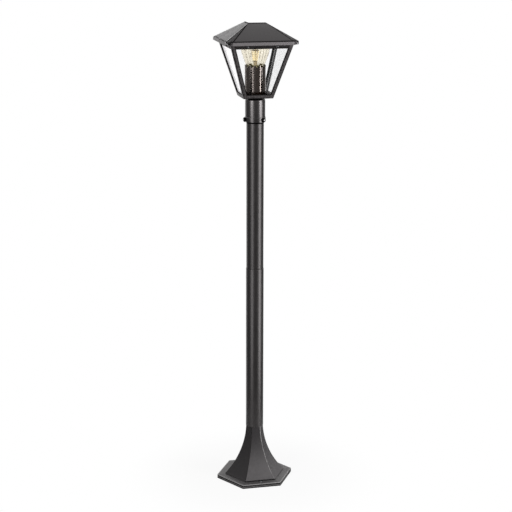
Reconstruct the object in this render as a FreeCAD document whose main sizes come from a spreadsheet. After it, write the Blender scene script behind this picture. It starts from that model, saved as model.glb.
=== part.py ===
"""Lantern floor lamp: a four-sided lantern on a two-piece post with a hexagonal trumpet foot.

Lengths are in millimetres. +Z is up, the front faces -Y, and the origin lies on the post's axis at
the underside of the foot. Every size is a cell of the sheet called Sizes.
"""
import FreeCAD, Part
import Sketcher
import math
import os

from FreeCAD import Placement, Rotation, Vector

doc = FreeCAD.newDocument("LanternFloorLamp")

# ---------------------------------------------------------------- driving sizes

SIZES = (
    # name, value, what it measures
    ("plate_flats", 145.6, "floor plate and flange, across the flats"),
    ("plate_thick", 4.0, "floor plate"),
    ("edge_break", 0.6, "small chamfer on plate and flange edges"),
    ("anchor_circle", 90.0, "circle of the floor anchor holes"),
    ("anchor_hole", 7.0, "floor anchor hole"),
    ("flange_thick", 4.5, "flange of the foot casting"),
    ("flare_flats", 115.7, "trumpet across the flats where it meets the flange"),
    ("flare_rise", 110.3, "trumpet height above the flange"),
    ("flare_bow", 185.0, "radius of the hollow curve of the trumpet's faces"),
    ("flare_gap", 1.2, "height of the shadow groove above the flange"),
    ("flare_gap_depth", 1.3, "depth of that groove"),
    ("foot_wall", 3.5, "wall of the foot casting"),
    ("foot_crown", 24.0, "solid metal over the hollow of the foot"),
    ("spigot_rise", 28.0, "round spigot that centres the lower tube"),
    ("fit_gap", 0.1, "gap round pieces that push together"),
    ("foot_screw_circle", 125.0, "circle of the two screws in the flange"),
    ("foot_screw_dia", 4.0, "screw through the flange"),
    ("foot_screw_head", 7.5, "its head"),
    ("foot_screw_head_rise", 2.2, "height of its head"),
    ("gland_bore", 8.4, "supply cable hole in the gland"),
    ("gland_dia", 20.0, "gland in the floor plate"),
    ("gland_lip", 24.0, "lip of the gland above the plate"),
    ("gland_lip_thick", 3.0, "thickness of that lip"),
    ("gland_neck", 13.0, "sleeve of the gland above its lip"),
    ("gland_neck_rise", 8.0, "height of that sleeve"),
    ("block_across", 26.0, "terminal block, left to right"),
    ("block_deep", 16.0, "terminal block, front to back"),
    ("block_rise", 16.0, "terminal block height"),
    ("bracket_rise", 26.0, "terminal bracket height above the plate"),
    ("bracket_sheet", 1.5, "terminal bracket sheet"),
    ("bracket_wide", 18.0, "terminal bracket, front to back"),
    ("bracket_foot", 18.0, "terminal bracket foot length"),
    ("bracket_screw_dia", 4.0, "screw through the bracket foot"),
    ("lead_dia", 7.0, "lead inside the post"),
    ("rod_dia", 13.0, "hollow threaded rods"),
    ("rod_bore", 9.6, "bore of the threaded rods"),
    ("rod_tail", 4.0, "thread showing past a nut"),
    ("thread_gap", 0.05, "gap round a thread, its ridges left out"),
    ("nut_flats", 19.0, "locknuts across the flats"),
    ("nut_thick", 6.0, "locknuts"),
    ("washer_dia", 26.0, "washer under the foot's locknut"),
    ("washer_thick", 2.0, "that washer"),
    ("plug_thick", 14.0, "threaded plug in the lower tube"),
    ("plug_gap", 2.0, "room between spigot and plug"),
    ("lower_dia", 38.0, "lower tube"),
    ("lower_length", 357.7, "lower tube"),
    ("upper_dia", 36.8, "upper tube"),
    ("upper_length", 358.5, "upper tube"),
    ("tube_wall", 1.5, "both tubes"),
    ("tube_edge", 0.6, "rounding of the tube ends"),
    ("joint_gap", 1.0, "shadow line between the tubes"),
    ("joint_inset", 0.4, "how far that line lies inside the upper tube"),
    ("coupling_reach", 40.0, "coupling inside each tube"),
    ("coupling_wall", 4.0, "coupling"),
    ("collar_dia", 42.3, "lantern collar"),
    ("band_dia", 44.2, "thick band at the collar's foot"),
    ("band_rise", 10.0, "height of that band"),
    ("collar_depth", 42.6, "how far the collar comes down over the tube"),
    ("collar_crown", 4.3, "top wall of the collar"),
    ("collar_edge", 1.2, "bevel round the collar's top"),
    ("collar_seat", 0.2, "gap between the tube's end and the collar's top wall"),
    ("neck_dia", 30.0, "round boss under the lantern floor"),
    ("neck_rise", 4.5, "height of that boss"),
    ("swivel_gap", 0.08, "gap between collar and tube"),
    ("set_screw_dia", 5.0, "screw that clamps the collar"),
    ("set_screw_head", 10.0, "its head"),
    ("set_screw_head_rise", 3.6, "height of its head"),
    ("set_screw_flats", 3.0, "hexagon socket in its head"),
    ("set_screw_turn", 36.0, "angle of the first screw from the front"),
    ("point_gap", 0.25, "gap in front of a screw's point"),
    ("slide_gap", 0.3, "gap between pieces that part"),
    ("frame_foot", 62.6, "lantern frame, width at the bottom"),
    ("frame_rise", 113.7, "lantern frame height"),
    ("frame_wall", 3.0, "walls of the lantern frame"),
    ("frame_floor", 3.0, "floor of the lantern frame"),
    ("strut_width", 9.0, "corner struts"),
    ("low_rail", 9.0, "rail under the windows"),
    ("high_rail", 8.2, "rail over the windows"),
    ("window_round", 1.5, "rounding of the window corners"),
    ("ridge_thick", 2.0, "ridge that holds the glass at its foot"),
    ("ridge_rise", 3.0, "height of that ridge"),
    ("glass_thick", 3.0, "panes"),
    ("glass_gap", 0.2, "gap round the panes"),
    ("glass_drop", 6.8, "how far the panes stop below the frame's top"),
    ("sleeve_dia", 43.5, "lampholder sleeve"),
    ("sleeve_wall", 1.2, "lampholder sleeve"),
    ("sleeve_rise", 64.0, "lampholder sleeve height"),
    ("notch_wide", 5.6, "notches in the sleeve's rim"),
    ("notch_deep", 3.6, "depth of those notches"),
    ("notch_count", 12.0, "number of those notches"),
    ("base_rise", 14.0, "lampholder base"),
    ("base_wall", 2.5, "lampholder base"),
    ("base_floor", 4.0, "lampholder base floor"),
    ("body_dia", 37.0, "lampholder body"),
    ("body_floor", 3.6, "lampholder body floor"),
    ("body_rise", 33.0, "lampholder body height"),
    ("shell_bore", 26.8, "threaded shell of the lampholder, inside"),
    ("shell_wall", 0.5, "that shell"),
    ("shell_rise", 25.0, "that shell"),
    ("shell_lift", 2.4, "that shell above the body floor"),
    ("contact_rise", 3.0, "centre contact above the body floor"),
    ("contact_sheet", 0.6, "centre contact"),
    ("bulb_cap_dia", 26.2, "bulb cap"),
    ("bulb_cap_rise", 21.0, "bulb cap"),
    ("bulb_cap_wall", 0.4, "bulb cap"),
    ("bulb_tip_dia", 9.0, "contact under the bulb"),
    ("bulb_tip_rise", 1.5, "contact under the bulb"),
    ("bulb_insulator_rise", 4.5, "black glass between contact and cap"),
    ("bulb_dia", 60.0, "bulb"),
    ("bulb_neck_dia", 26.8, "bulb glass where it leaves the cap"),
    ("bulb_neck_up", 28.0, "that neck above the contact"),
    ("bulb_throat_dia", 39.6, "bulb glass at the sleeve's rim"),
    ("bulb_throat_up", 43.0, "that level above the contact"),
    ("bulb_wide_up", 76.5, "widest level above the contact"),
    ("bulb_neck_bow", 40.0, "curve of the neck"),
    ("bulb_glass", 0.8, "glass of the bulb"),
    ("stem_press_wide", 8.0, "pinched end of the stem"),
    ("stem_press_up", 50.0, "level of that end above the contact"),
    ("filament_dia", 1.8, "glowing rods"),
    ("filament_low_circle", 8.4, "circle of their lower ends"),
    ("filament_high_circle", 15.0, "circle of their upper ends"),
    ("filament_length", 21.0, "height they span"),
    ("filament_count", 6.0, "number of them"),
    ("wire_dia", 0.9, "wire rings that carry them"),
    ("eave_width", 153.0, "roof across its eaves"),
    ("eave_reach", 11.0, "how far the eaves stand out past the lantern frame"),
    ("roof_flat", 35.2, "flat top of the roof"),
    ("fascia_rise", 6.6, "upright edge of the roof"),
    ("roof_rise", 34.7, "slope of the roof, in height"),
    ("corner_cut", 13.0, "bevelled corner at the eaves, measured along each side"),
    ("roof_wall", 3.0, "roof shell"),
    ("tray_sheet", 1.5, "tray under the roof"),
    ("tray_skirt_drop", 8.0, "how far the skirt reaches down into the frame"),
    ("gasket_thick", 0.8, "seal on the frame's top edge"),
    ("tray_screw_dia", 3.0, "screws that hold the tray in the roof"),
    ("tray_screw_head", 5.0, "their heads"),
    ("tray_screw_head_rise", 1.8, "height of their heads"),
    ("tray_boss_dia", 7.4, "bosses in the roof for those screws"),
    ("roof_screw_dia", 3.0, "screws that pinch the roof"),
    ("roof_screw_head", 5.5, "their heads"),
    ("roof_screw_head_rise", 1.8, "height of their heads"),
    ("roof_screw_out", 30.5, "their distance from the middle of a side"),
    ("roof_screw_down", 3.2, "their distance below the frame's top"),
)


class Size:
    """A number together with the sheet formula that gives it."""

    def __init__(self, value, formula=None):
        self.value = float(value)
        self.formula = formula or "(%r)" % self.value

    def __add__(self, other):
        return joined(self, "+", other)

    def __radd__(self, other):
        return joined(other, "+", self)

    def __sub__(self, other):
        return joined(self, "-", other)

    def __rsub__(self, other):
        return joined(other, "-", self)

    def __mul__(self, other):
        return joined(self, "*", other)

    def __rmul__(self, other):
        return joined(other, "*", self)

    def __truediv__(self, other):
        return joined(self, "/", other)

    def __rtruediv__(self, other):
        return joined(other, "/", self)

    def __neg__(self):
        return joined(0, "-", self)


def sized(number):
    return number if isinstance(number, Size) else Size(number)


def joined(left, sign, right):
    left = sized(left)
    right = sized(right)
    value = {
        "+": lambda a, b: a + b,
        "-": lambda a, b: a - b,
        "*": lambda a, b: a * b,
        "/": lambda a, b: a / b,
    }[sign](left.value, right.value)
    return Size(value, "(%s %s %s)" % (left.formula, sign, right.formula))


def root(size):
    size = sized(size)
    return Size(math.sqrt(size.value), "sqrt(%s)" % size.formula)


def lean(rise_over_run):
    """The angle in degrees whose tangent is given."""
    return Size(math.degrees(math.atan(rise_over_run.value)), "atan(%s)" % rise_over_run.formula)


class Sheet:
    """The spreadsheet's cells, each read by its name."""

    def __init__(self, rows):
        self.object = doc.addObject("Spreadsheet::Sheet", "Sizes")
        for row, (name, value, meaning) in enumerate(rows, 1):
            self.object.set("A%d" % row, meaning)
            self.object.set("B%d" % row, str(value))
            self.object.setAlias("B%d" % row, name)
            setattr(self, name, Size(value, "Sizes." + name))
        doc.recompute()


S = Sheet(SIZES)
HALF_ROOT3 = math.sqrt(3) / 2
ROOT2 = math.sqrt(2)

# ---------------------------------------------------------------- drawing helpers


def bind(thing, path, size):
    thing.setExpression(path, sized(size).formula)


def new_body(name):
    body = doc.addObject("PartDesign::Body", name)
    body.Label = name
    return body


def stand(thing, up):
    """Lift a piece to its level on the axis."""
    bind(thing, ".Placement.Base.z", up)
    return thing


def origin_part(body, role):
    return [part for part in body.Origin.OriginFeatures if part.Role == role][0]


def new_sketch(body, name, role="XY_Plane", up=None, turn=None):
    """A sketch on one of the body's planes, shifted along its normal or turned about +Z."""
    sketch = body.newObject("Sketcher::SketchObject", name)
    sketch.AttachmentSupport = [(origin_part(body, role), "")]
    sketch.MapMode = "FlatFace"
    if up is not None:
        sketch.AttachmentOffset = Placement(Vector(0, 0, sized(up).value), Rotation())
        bind(sketch, ".AttachmentOffset.Base.z", up)
    if turn is not None:
        sketch.AttachmentOffset = Placement(Vector(0, 0, 0), Rotation(Vector(0, 1, 0), sized(turn).value))
        if isinstance(turn, Size):
            bind(sketch, ".AttachmentOffset.Rotation.Angle", turn)
    return sketch


def pin_point(sketch, geometry, end, across, up):
    """Hold one point of a sketch at its two distances from the sketch's origin."""
    for kind, axis, size in (("DistanceX", -2, across), ("DistanceY", -1, up)):
        size = sized(size)
        if size.formula == sized(0).formula:
            sketch.addConstraint(Sketcher.Constraint("PointOnObject", geometry, end, axis))
            continue
        index = sketch.addConstraint(Sketcher.Constraint(kind, -1, 1, geometry, end, size.value))
        bind(sketch, "Constraints[%d]" % index, size)


def bowed(start, finish, radius):
    """An arc between two points: a positive radius turns left on the way, a negative one right."""
    chord = finish - start
    half = chord.Length / 2
    reach = math.sqrt(max(radius * radius - half * half, 0.0))
    left = Vector(-chord.y, chord.x, 0).normalize()
    centre = start + chord * 0.5 + left * (reach if radius > 0 else -reach)
    first, last = (start, finish) if radius > 0 else (finish, start)
    turn_first = math.atan2(first.y - centre.y, first.x - centre.x)
    turn_last = math.atan2(last.y - centre.y, last.x - centre.x)
    circle = Part.Circle(centre, Vector(0, 0, 1), abs(radius))
    return Part.ArcOfCircle(circle, turn_first, turn_last)


def trace(sketch, corners):
    """Close a loop through corners (across, up), or (across, up, radius) where an arc leaves."""
    points = [Vector(sized(c[0]).value, sized(c[1]).value, 0) for c in corners]
    ends = []
    for index, corner in enumerate(corners):
        start = points[index]
        finish = points[(index + 1) % len(points)]
        if len(corner) == 3:
            radius = sized(corner[2])
            geometry = sketch.addGeometry(bowed(start, finish, radius.value), False)
            size = radius if radius.value > 0 else -radius
            number = sketch.addConstraint(Sketcher.Constraint("Radius", geometry, size.value))
            bind(sketch, "Constraints[%d]" % number, size)
            ends.append((geometry, 1, 2) if radius.value > 0 else (geometry, 2, 1))
        else:
            geometry = sketch.addGeometry(Part.LineSegment(start, finish), False)
            ends.append((geometry, 1, 2))
    for index, corner in enumerate(corners):
        geometry, first, _ = ends[index]
        before, _, last = ends[index - 1]
        sketch.addConstraint(Sketcher.Constraint("Coincident", before, last, geometry, first))
        pin_point(sketch, geometry, first, corner[0], corner[1])
    return sketch


def ring(sketch, dia, across=0, up=0):
    """A circle held by its radius and its centre."""
    radius = sized(dia) / 2
    centre = Vector(sized(across).value, sized(up).value, 0)
    geometry = sketch.addGeometry(Part.Circle(centre, Vector(0, 0, 1), radius.value), False)
    number = sketch.addConstraint(Sketcher.Constraint("Radius", geometry, radius.value))
    bind(sketch, "Constraints[%d]" % number, radius)
    pin_point(sketch, geometry, 3, across, up)
    return sketch


def hexagon(sketch, flats):
    """A regular hexagon with two flats square to the sketch's upright axis."""
    reach = flats / (2 * HALF_ROOT3)
    side = flats / 2
    return trace(sketch, [
        (reach, 0), (reach / 2, side), (-reach / 2, side),
        (-reach, 0), (-reach / 2, -side), (reach / 2, -side),
    ])


def square(sketch, width):
    half = width / 2
    return trace(sketch, [(half, -half), (half, half), (-half, half), (-half, -half)])


def box_outline(sketch, across, deep):
    wide = across / 2
    long = deep / 2
    return trace(sketch, [(wide, -long), (wide, long), (-wide, long), (-wide, -long)])


def pad(body, sketch, length, both=False, reverse=False):
    feature = body.newObject("PartDesign::Pad", sketch.Name + "Pad")
    feature.Profile = sketch
    feature.SideType = "Symmetric" if both else "One side"
    feature.Reversed = reverse
    bind(feature, "Length", length)
    return feature


def pocket(body, sketch, length=None, both=False, reverse=False):
    """A cut by the sketch: through everything, or as deep as length says."""
    feature = body.newObject("PartDesign::Pocket", sketch.Name + "Pocket")
    feature.Profile = sketch
    feature.SideType = "Symmetric" if both else "One side"
    feature.Reversed = reverse
    if length is None:
        feature.Type = "ThroughAll"
    else:
        bind(feature, "Length", length)
    return feature


def around(body, feature, count):
    """Repeat a feature evenly about the body's upright axis."""
    pattern = body.newObject("PartDesign::PolarPattern", feature.Name + "Around")
    pattern.Originals = [feature]
    pattern.Axis = (origin_part(body, "Z_Axis"), [""])
    pattern.Angle = 360
    pattern.Occurrences = int(round(sized(count).value))
    if isinstance(count, Size):
        bind(pattern, "Occurrences", count)
    body.Tip = pattern
    return pattern


def leaning_sides(body, name, low, low_up, high, high_up):
    """Trim a square block's four sides to planes from one half width and level to another."""
    past = S.eave_width / 10
    lean_out = (sized(high) - low) / (sized(high_up) - low_up)
    far = S.eave_width
    wedge = new_sketch(body, name, "XZ_Plane")
    trace(wedge, [
        (low, low_up), (far, low_up), (far, high_up + past), (high + past * lean_out, high_up + past)])
    return around(body, pocket(body, wedge, both=True), 4)


def cut_by(body, tool):
    """Take one body's form out of another."""
    feature = body.newObject("PartDesign::Boolean", tool.Name + "Cut")
    feature.Type = "Cut"
    feature.setObjects([tool])
    body.Tip = feature
    return feature


def edges_where(feature, test):
    """Names of a feature's edges whose two ends pass a test."""
    doc.recompute()
    return ["Edge%d" % number for number, edge in enumerate(feature.Shape.Edges, 1)
            if len(edge.Vertexes) == 2 and test(edge.Vertexes[0].Point, edge.Vertexes[1].Point)]


def near(number, *sizes):
    """True where a number equals one of the sizes."""
    return any(abs(number - sized(size).value) < 0.01 for size in sizes)


def rim_edges(feature, flats, *levels):
    """Level edges on the outline of a hexagon, at the given levels."""
    inside = sized(flats).value / 2 - 0.01
    return edges_where(feature, lambda p, q: math.hypot(p.x, p.y) > inside < math.hypot(q.x, q.y)
                       and near(p.z, *levels) and near(q.z, p.z))


def dress(body, kind, feature, names, size):
    """A chamfer or a fillet on named edges of a feature."""
    finish = body.newObject("PartDesign::" + kind, feature.Name + kind)
    finish.Base = (feature, names)
    bind(finish, "Size" if kind == "Chamfer" else "Radius", size)
    return finish


def turned(name, corners):
    """A piece turned about its upright axis from a profile of (radius, height) corners."""
    body = new_body(name)
    sketch = trace(new_sketch(body, name + "Profile", "XZ_Plane"), corners)
    feature = body.newObject("PartDesign::Revolution", name + "Turned")
    feature.Profile = sketch
    feature.ReferenceAxis = (sketch, ["V_Axis"])
    feature.Angle = 360
    return body


def tube_outline(outer, wall, length, edge):
    """Profile of a plain tube with its outer ends rounded by a small bevel."""
    outer = outer / 2
    inner = outer - wall
    return [
        (inner, 0), (outer - edge, 0), (outer, edge),
        (outer, length - edge), (outer - edge, length), (inner, length),
    ]


def group(name, members):
    compound = doc.addObject("Part::Compound", name)
    compound.Label = name
    compound.Links = members
    return compound


# Solids in the order in which they are written, each under the name of its piece.
pieces = []


def keep(*things):
    pieces.extend(things)
    return things[0]


# ---------------------------------------------------------------- levels up the axis

flange_base = S.plate_thick
flare_base = flange_base + S.flange_thick
foot_top = flare_base + S.flare_rise
foot_ceiling = foot_top - S.foot_crown
joint_base = foot_top + S.lower_length
upper_base = joint_base + S.joint_gap
upper_top = upper_base + S.upper_length
collar_base = upper_top - S.collar_depth
collar_inside = S.collar_depth + S.collar_seat
collar_top = collar_inside + S.collar_crown
frame_base = collar_base + collar_top + S.neck_rise
floor_top = frame_base + S.frame_floor
frame_top = frame_base + S.frame_rise
roof_base = frame_top
tray_base = frame_top + S.slide_gap + S.gasket_thick

# ---------------------------------------------------------------- foot


def floor_plate():
    """Hexagonal steel plate that is anchored to the ground and carries the casting."""
    body = new_body("floor_plate")
    slab = pad(body, hexagon(new_sketch(body, "PlateOutline"), S.plate_flats), S.plate_thick)
    dress(body, "Chamfer", slab, rim_edges(slab, S.plate_flats, S.plate_thick), S.edge_break)
    pocket(body, ring(new_sketch(body, "GlandHole"), S.gland_dia + 2 * S.fit_gap), reverse=True)
    anchor = new_sketch(body, "AnchorHole")
    ring(anchor, S.anchor_hole, 0, S.anchor_circle / 2)
    around(body, pocket(body, anchor, reverse=True), 3)
    screw = new_sketch(body, "FlangeScrewHole")
    ring(screw, S.foot_screw_dia + 2 * S.thread_gap, 0, S.foot_screw_circle / 2)
    around(body, pocket(body, screw, reverse=True), 2)
    bracket = new_sketch(body, "BracketScrewHole")
    ring(bracket, S.bracket_screw_dia + 2 * S.thread_gap, bracket_screw_across(), 0)
    pocket(body, bracket, reverse=True)
    return body


def flare_form(name, shrink, top, gap):
    """Hexagonal prism cut six times by the trumpet's hollow curve, all faces moved in by shrink."""
    body = new_body(name)
    wide = S.flare_flats / 2 - shrink
    narrow = S.lower_dia / 2 * HALF_ROOT3 - shrink
    far = S.flare_flats
    low = S.flange_thick
    high = low + S.flare_rise
    clear = high + S.foot_crown
    pad(body, hexagon(new_sketch(body, name + "Prism"), S.flare_flats - 2 * shrink), top)
    face = new_sketch(body, name + "Face", "YZ_Plane")
    foot = [(wide, low, S.flare_bow)]
    if gap:
        inner = wide - S.flare_gap_depth
        lip = low + S.flare_gap
        foot = [(inner, low), (inner, lip), (wide, lip, S.flare_bow)]
    # The arc bows towards the axis, so it turns right on its way up.
    foot[-1] = (foot[-1][0], foot[-1][1], -foot[-1][2])
    trace(face, foot + [(narrow, high), (narrow, clear), (far, clear), (far, low)])
    around(body, pocket(body, face, both=True), 6)
    return body


def foot_casting():
    """Hollow casting: flat flange, trumpet of six hollow faces, and a spigot for the tube."""
    outer = flare_form("FootOuter", Size(0), S.flange_thick + S.flare_rise, True)
    flange = pad(outer, hexagon(new_sketch(outer, "FlangeOutline"), S.plate_flats), S.flange_thick)
    dress(outer, "Chamfer", flange, rim_edges(flange, S.plate_flats, 0, S.flange_thick), S.edge_break)
    spigot = new_sketch(outer, "Spigot", up=S.flange_thick + S.flare_rise)
    ring(spigot, S.lower_dia - 2 * S.tube_wall - 2 * S.fit_gap)
    pad(outer, spigot, S.spigot_rise)
    pocket(outer, ring(new_sketch(outer, "RodHole"), S.rod_dia + 4 * S.fit_gap), reverse=True)
    screw = new_sketch(outer, "FlangeScrewClearance")
    ring(screw, S.foot_screw_dia + 4 * S.fit_gap, 0, S.foot_screw_circle / 2)
    around(outer, pocket(outer, screw, reverse=True), 2)
    core = flare_form("FootCore", S.foot_wall, S.flange_thick + S.flare_rise - S.foot_crown, False)
    casting = doc.addObject("Part::Cut", "foot_casting")
    casting.Label = "foot_casting"
    casting.Base = outer
    casting.Tool = core
    return stand(casting, flange_base)


def screw_profile(shank_dia, length, head_dia, head_rise, seat=0):
    """Screw with a bevelled head: its head rests on the seat, its shank hangs below."""
    shank = shank_dia / 2
    head = head_dia / 2
    crown = head_rise * 0.35
    top = head_rise + seat
    return [
        (0, -length), (shank, -length), (shank, seat), (head, seat),
        (head, top - crown), (head - crown, top), (0, top),
    ]


def foot_screws():
    """Two screws, front and rear, that hold the casting down on the plate."""
    members = []
    for side, turn in (("Front", 0), ("Rear", 180)):
        length = S.flange_thick + S.plate_thick - 2 * S.slide_gap
        screw = turned("FootScrew" + side, screw_profile(
            S.foot_screw_dia, length, S.foot_screw_head, S.foot_screw_head_rise))
        reach = S.foot_screw_circle / 2
        bind(stand(screw, flare_base), ".Placement.Base.y", -reach if turn == 0 else reach)
        members.append(screw)
    return group("foot_screws", members)


def bracket_screw_across():
    return -(S.block_across / 2 + S.bracket_sheet + S.bracket_foot / 2)


def cable_gland():
    """Rubber gland that seals the supply cable in the plate."""
    bore = S.gland_bore / 2
    body = S.gland_dia / 2
    lip = S.gland_lip / 2
    neck = S.gland_neck / 2
    low = S.slide_gap
    lip_top = S.plate_thick + S.gland_lip_thick
    top = lip_top + S.gland_neck_rise
    return turned("cable_gland", [
        (bore, low), (body, low), (body, S.plate_thick), (lip, S.plate_thick),
        (lip, lip_top - 1), (lip - 1, lip_top), (neck, lip_top), (neck - 1, top), (bore, top),
    ])


def terminal_bracket():
    """Sheet strap, bent twice, that carries the terminal block over the gland."""
    body = new_body("terminal_bracket")
    inner = -S.block_across / 2
    outer = inner - S.bracket_sheet
    toe = outer - S.bracket_foot
    strap = new_sketch(body, "BracketStrap", "XZ_Plane")
    trace(strap, [
        (toe, 0), (inner, 0), (inner, S.bracket_rise - S.bracket_sheet),
        (S.block_across / 2, S.bracket_rise - S.bracket_sheet), (S.block_across / 2, S.bracket_rise),
        (outer, S.bracket_rise), (outer, S.bracket_sheet), (toe, S.bracket_sheet),
    ])
    pad(body, strap, S.bracket_wide, both=True)
    shelf_hole = ring(new_sketch(body, "CableHole"), S.gland_neck - 2 * S.bracket_sheet)
    pocket(body, shelf_hole, reverse=True)
    foot_hole = new_sketch(body, "BracketFootHole")
    ring(foot_hole, S.bracket_screw_dia + 4 * S.fit_gap, bracket_screw_across(), 0)
    pocket(body, foot_hole, reverse=True)
    return stand(body, S.plate_thick)


def bracket_screw():
    length = S.bracket_sheet + S.plate_thick - S.slide_gap
    screw = turned("bracket_screw", screw_profile(
        S.bracket_screw_dia, length, S.bracket_screw_dia * 1.9, S.bracket_screw_dia * 0.55))
    bind(screw, ".Placement.Base.x", bracket_screw_across())
    return stand(screw, S.plate_thick + S.bracket_sheet)


def terminal_block():
    """Three-way terminal block with its screw wells along the front."""
    body = new_body("terminal_block")
    pad(body, box_outline(new_sketch(body, "BlockOutline"), S.block_across, S.block_deep), S.block_rise)
    pitch = S.block_across / 3
    for number in (-1, 0, 1):
        well = new_sketch(body, "Well%d" % (number + 2), "XZ_Plane", up=S.block_deep / 2)
        ring(well, pitch * 0.5, number * pitch, S.block_rise * 0.6)
        pocket(body, well, S.block_deep * 0.35)
    return stand(body, S.plate_thick + S.bracket_rise)


def supply_lead():
    """Lead inside the post, from the terminal block up to the lampholder's base."""
    bottom = S.plate_thick + S.bracket_rise + S.block_rise
    top = floor_top + S.base_floor + (S.base_rise - S.base_floor) / 2
    lead = doc.addObject("Part::Cylinder", "supply_lead")
    lead.Label = "supply_lead"
    bind(lead, "Radius", S.lead_dia / 2)
    bind(lead, "Height", top - bottom)
    return stand(lead, bottom)


def hex_nut(name):
    """Hexagon nut with bevelled corners and a plain bore over the rod's thread."""
    body = new_body(name)
    pad(body, hexagon(new_sketch(body, name + "Outline"), S.nut_flats), S.nut_thick)
    corner = S.nut_flats / (2 * HALF_ROOT3)
    flat = S.nut_flats / 2
    bevel = (corner - flat) * 0.6
    cut = new_sketch(body, name + "Bevel", "XZ_Plane")
    trace(cut, [(flat, 0), (corner + 1, 0), (corner + 1, bevel + 1)])
    groove = body.newObject("PartDesign::Groove", name + "BevelCut")
    groove.Profile = cut
    groove.ReferenceAxis = (cut, ["V_Axis"])
    groove.Angle = 360
    pocket(body, ring(new_sketch(body, name + "Bore"), S.rod_dia + 2 * S.thread_gap), reverse=True)
    return body


def threaded_rod(name, length):
    bore = S.rod_bore / 2
    outer = S.rod_dia / 2
    return turned(name, [
        (bore, 0), (outer - 0.6, 0), (outer, 0.6),
        (outer, length - 0.6), (outer - 0.6, length), (bore, length),
    ])


def foot_clamp():
    """Washer, nut, hollow rod and plug that pull the lower tube down on the casting."""
    washer_base = foot_ceiling - S.washer_thick
    nut_base = washer_base - S.nut_thick
    rod_base = nut_base - S.rod_tail
    plug_base = foot_top + S.spigot_rise + S.plug_gap
    hole = S.rod_dia / 2 + 2 * S.fit_gap
    washer = turned("foot_washer", [
        (hole, 0), (S.washer_dia / 2, 0), (S.washer_dia / 2, S.washer_thick), (hole, S.washer_thick)])
    thread = S.rod_dia / 2 + S.thread_gap
    plug_side = S.lower_dia / 2 - S.tube_wall - S.thread_gap
    plug = turned("post_plug", [
        (thread, 0), (plug_side - 1, 0), (plug_side, 1),
        (plug_side, S.plug_thick), (thread, S.plug_thick)])
    rod = threaded_rod("foot_rod", plug_base + S.plug_thick - rod_base)
    return [
        stand(washer, washer_base),
        stand(hex_nut("foot_nut"), nut_base),
        stand(rod, rod_base),
        stand(plug, plug_base),
    ]


# ---------------------------------------------------------------- post


def post_tubes():
    """Two tubes, with a coupling inside whose rim leaves a shadow line between them."""
    lower = turned("lower_tube", tube_outline(S.lower_dia, S.tube_wall, S.lower_length, S.tube_edge))
    upper = turned("upper_tube", tube_outline(S.upper_dia, S.tube_wall, S.upper_length, S.tube_edge))
    below = S.lower_dia / 2 - S.tube_wall - S.fit_gap
    above = S.upper_dia / 2 - S.tube_wall - S.fit_gap
    rim = S.upper_dia / 2 - S.joint_inset
    bore = above - S.coupling_wall
    reach = S.coupling_reach
    top = reach + S.joint_gap
    coupling = turned("tube_coupling", [
        (bore, 0), (below - 1, 0), (below, 1), (below, reach), (rim, reach), (rim, top),
        (above, top), (above, top + reach - 1), (above - 1, top + reach), (bore, top + reach),
    ])
    return [
        stand(lower, foot_top),
        stand(coupling, joint_base - reach),
        stand(upper, upper_base),
    ]


# ---------------------------------------------------------------- collar and its screws


def set_screw_level():
    return S.band_rise / 2


def neck_collar():
    """Cap that turns on the post's end: banded rim, bevelled crown and a boss for the lantern."""
    bore = S.upper_dia / 2 + S.swivel_gap
    band = S.band_dia / 2
    side = S.collar_dia / 2
    hole = S.rod_dia / 2 + 2 * S.fit_gap
    edge = S.collar_edge
    neck = S.neck_dia / 2
    collar = turned("neck_collar", [
        (bore, 0), (band - edge / 2, 0), (band, edge / 2), (band, S.band_rise - edge / 2),
        (side, S.band_rise), (side, collar_top - edge), (side - edge, collar_top),
        (neck, collar_top), (neck, collar_top + S.neck_rise), (hole, collar_top + S.neck_rise),
        (hole, collar_inside), (bore, collar_inside),
    ])
    tap = new_sketch(collar, "SetScrewHole", "XZ_Plane", turn=S.set_screw_turn)
    ring(tap, S.set_screw_dia + 2 * S.swivel_gap, 0, set_screw_level())
    around(collar, pocket(collar, tap, S.band_dia, reverse=True), 3)
    return stand(collar, collar_base)


def set_screw(name, turn):
    """Button-headed screw with a hexagon socket, pointing at the tube through the band."""
    seat = S.band_dia / 2 + S.slide_gap
    length = seat - S.upper_dia / 2 - S.point_gap
    shank = S.set_screw_dia / 2
    head = S.set_screw_head / 2
    rise = S.set_screw_head_rise
    screw = turned(name, [
        (0, -length), (shank - 0.6, -length), (shank, 0.6 - length), (shank, 0), (head, 0),
        (head, rise * 0.4), (head * 0.85, rise * 0.75), (head * 0.5, rise), (0, rise),
    ])
    socket = hexagon(new_sketch(screw, name + "Socket", up=rise), S.set_screw_flats)
    pocket(screw, socket, rise * 0.6)
    return aim(screw, turn, 0, seat, collar_base + set_screw_level())


def aim(thing, turn, dip, out, up, aside=0):
    """Lay a piece's own axis outward: turned from the front, dipped below level, and set out."""
    turn = sized(turn)
    dip = sized(dip)
    place = Rotation(Vector(0, 0, 1), turn.value) * Rotation(Vector(1, 0, 0), 90 + dip.value)
    thing.Placement = Placement(Vector(0, 0, 0), place)
    heading = math.radians(turn.value)
    east = math.sin(heading)
    south = -math.cos(heading)
    along_x = math.cos(heading)
    along_y = math.sin(heading)
    bind(thing, ".Placement.Base.x", sized(out) * east + sized(aside) * along_x)
    bind(thing, ".Placement.Base.y", sized(out) * south + sized(aside) * along_y)
    bind(thing, ".Placement.Base.z", up)
    return thing


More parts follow.
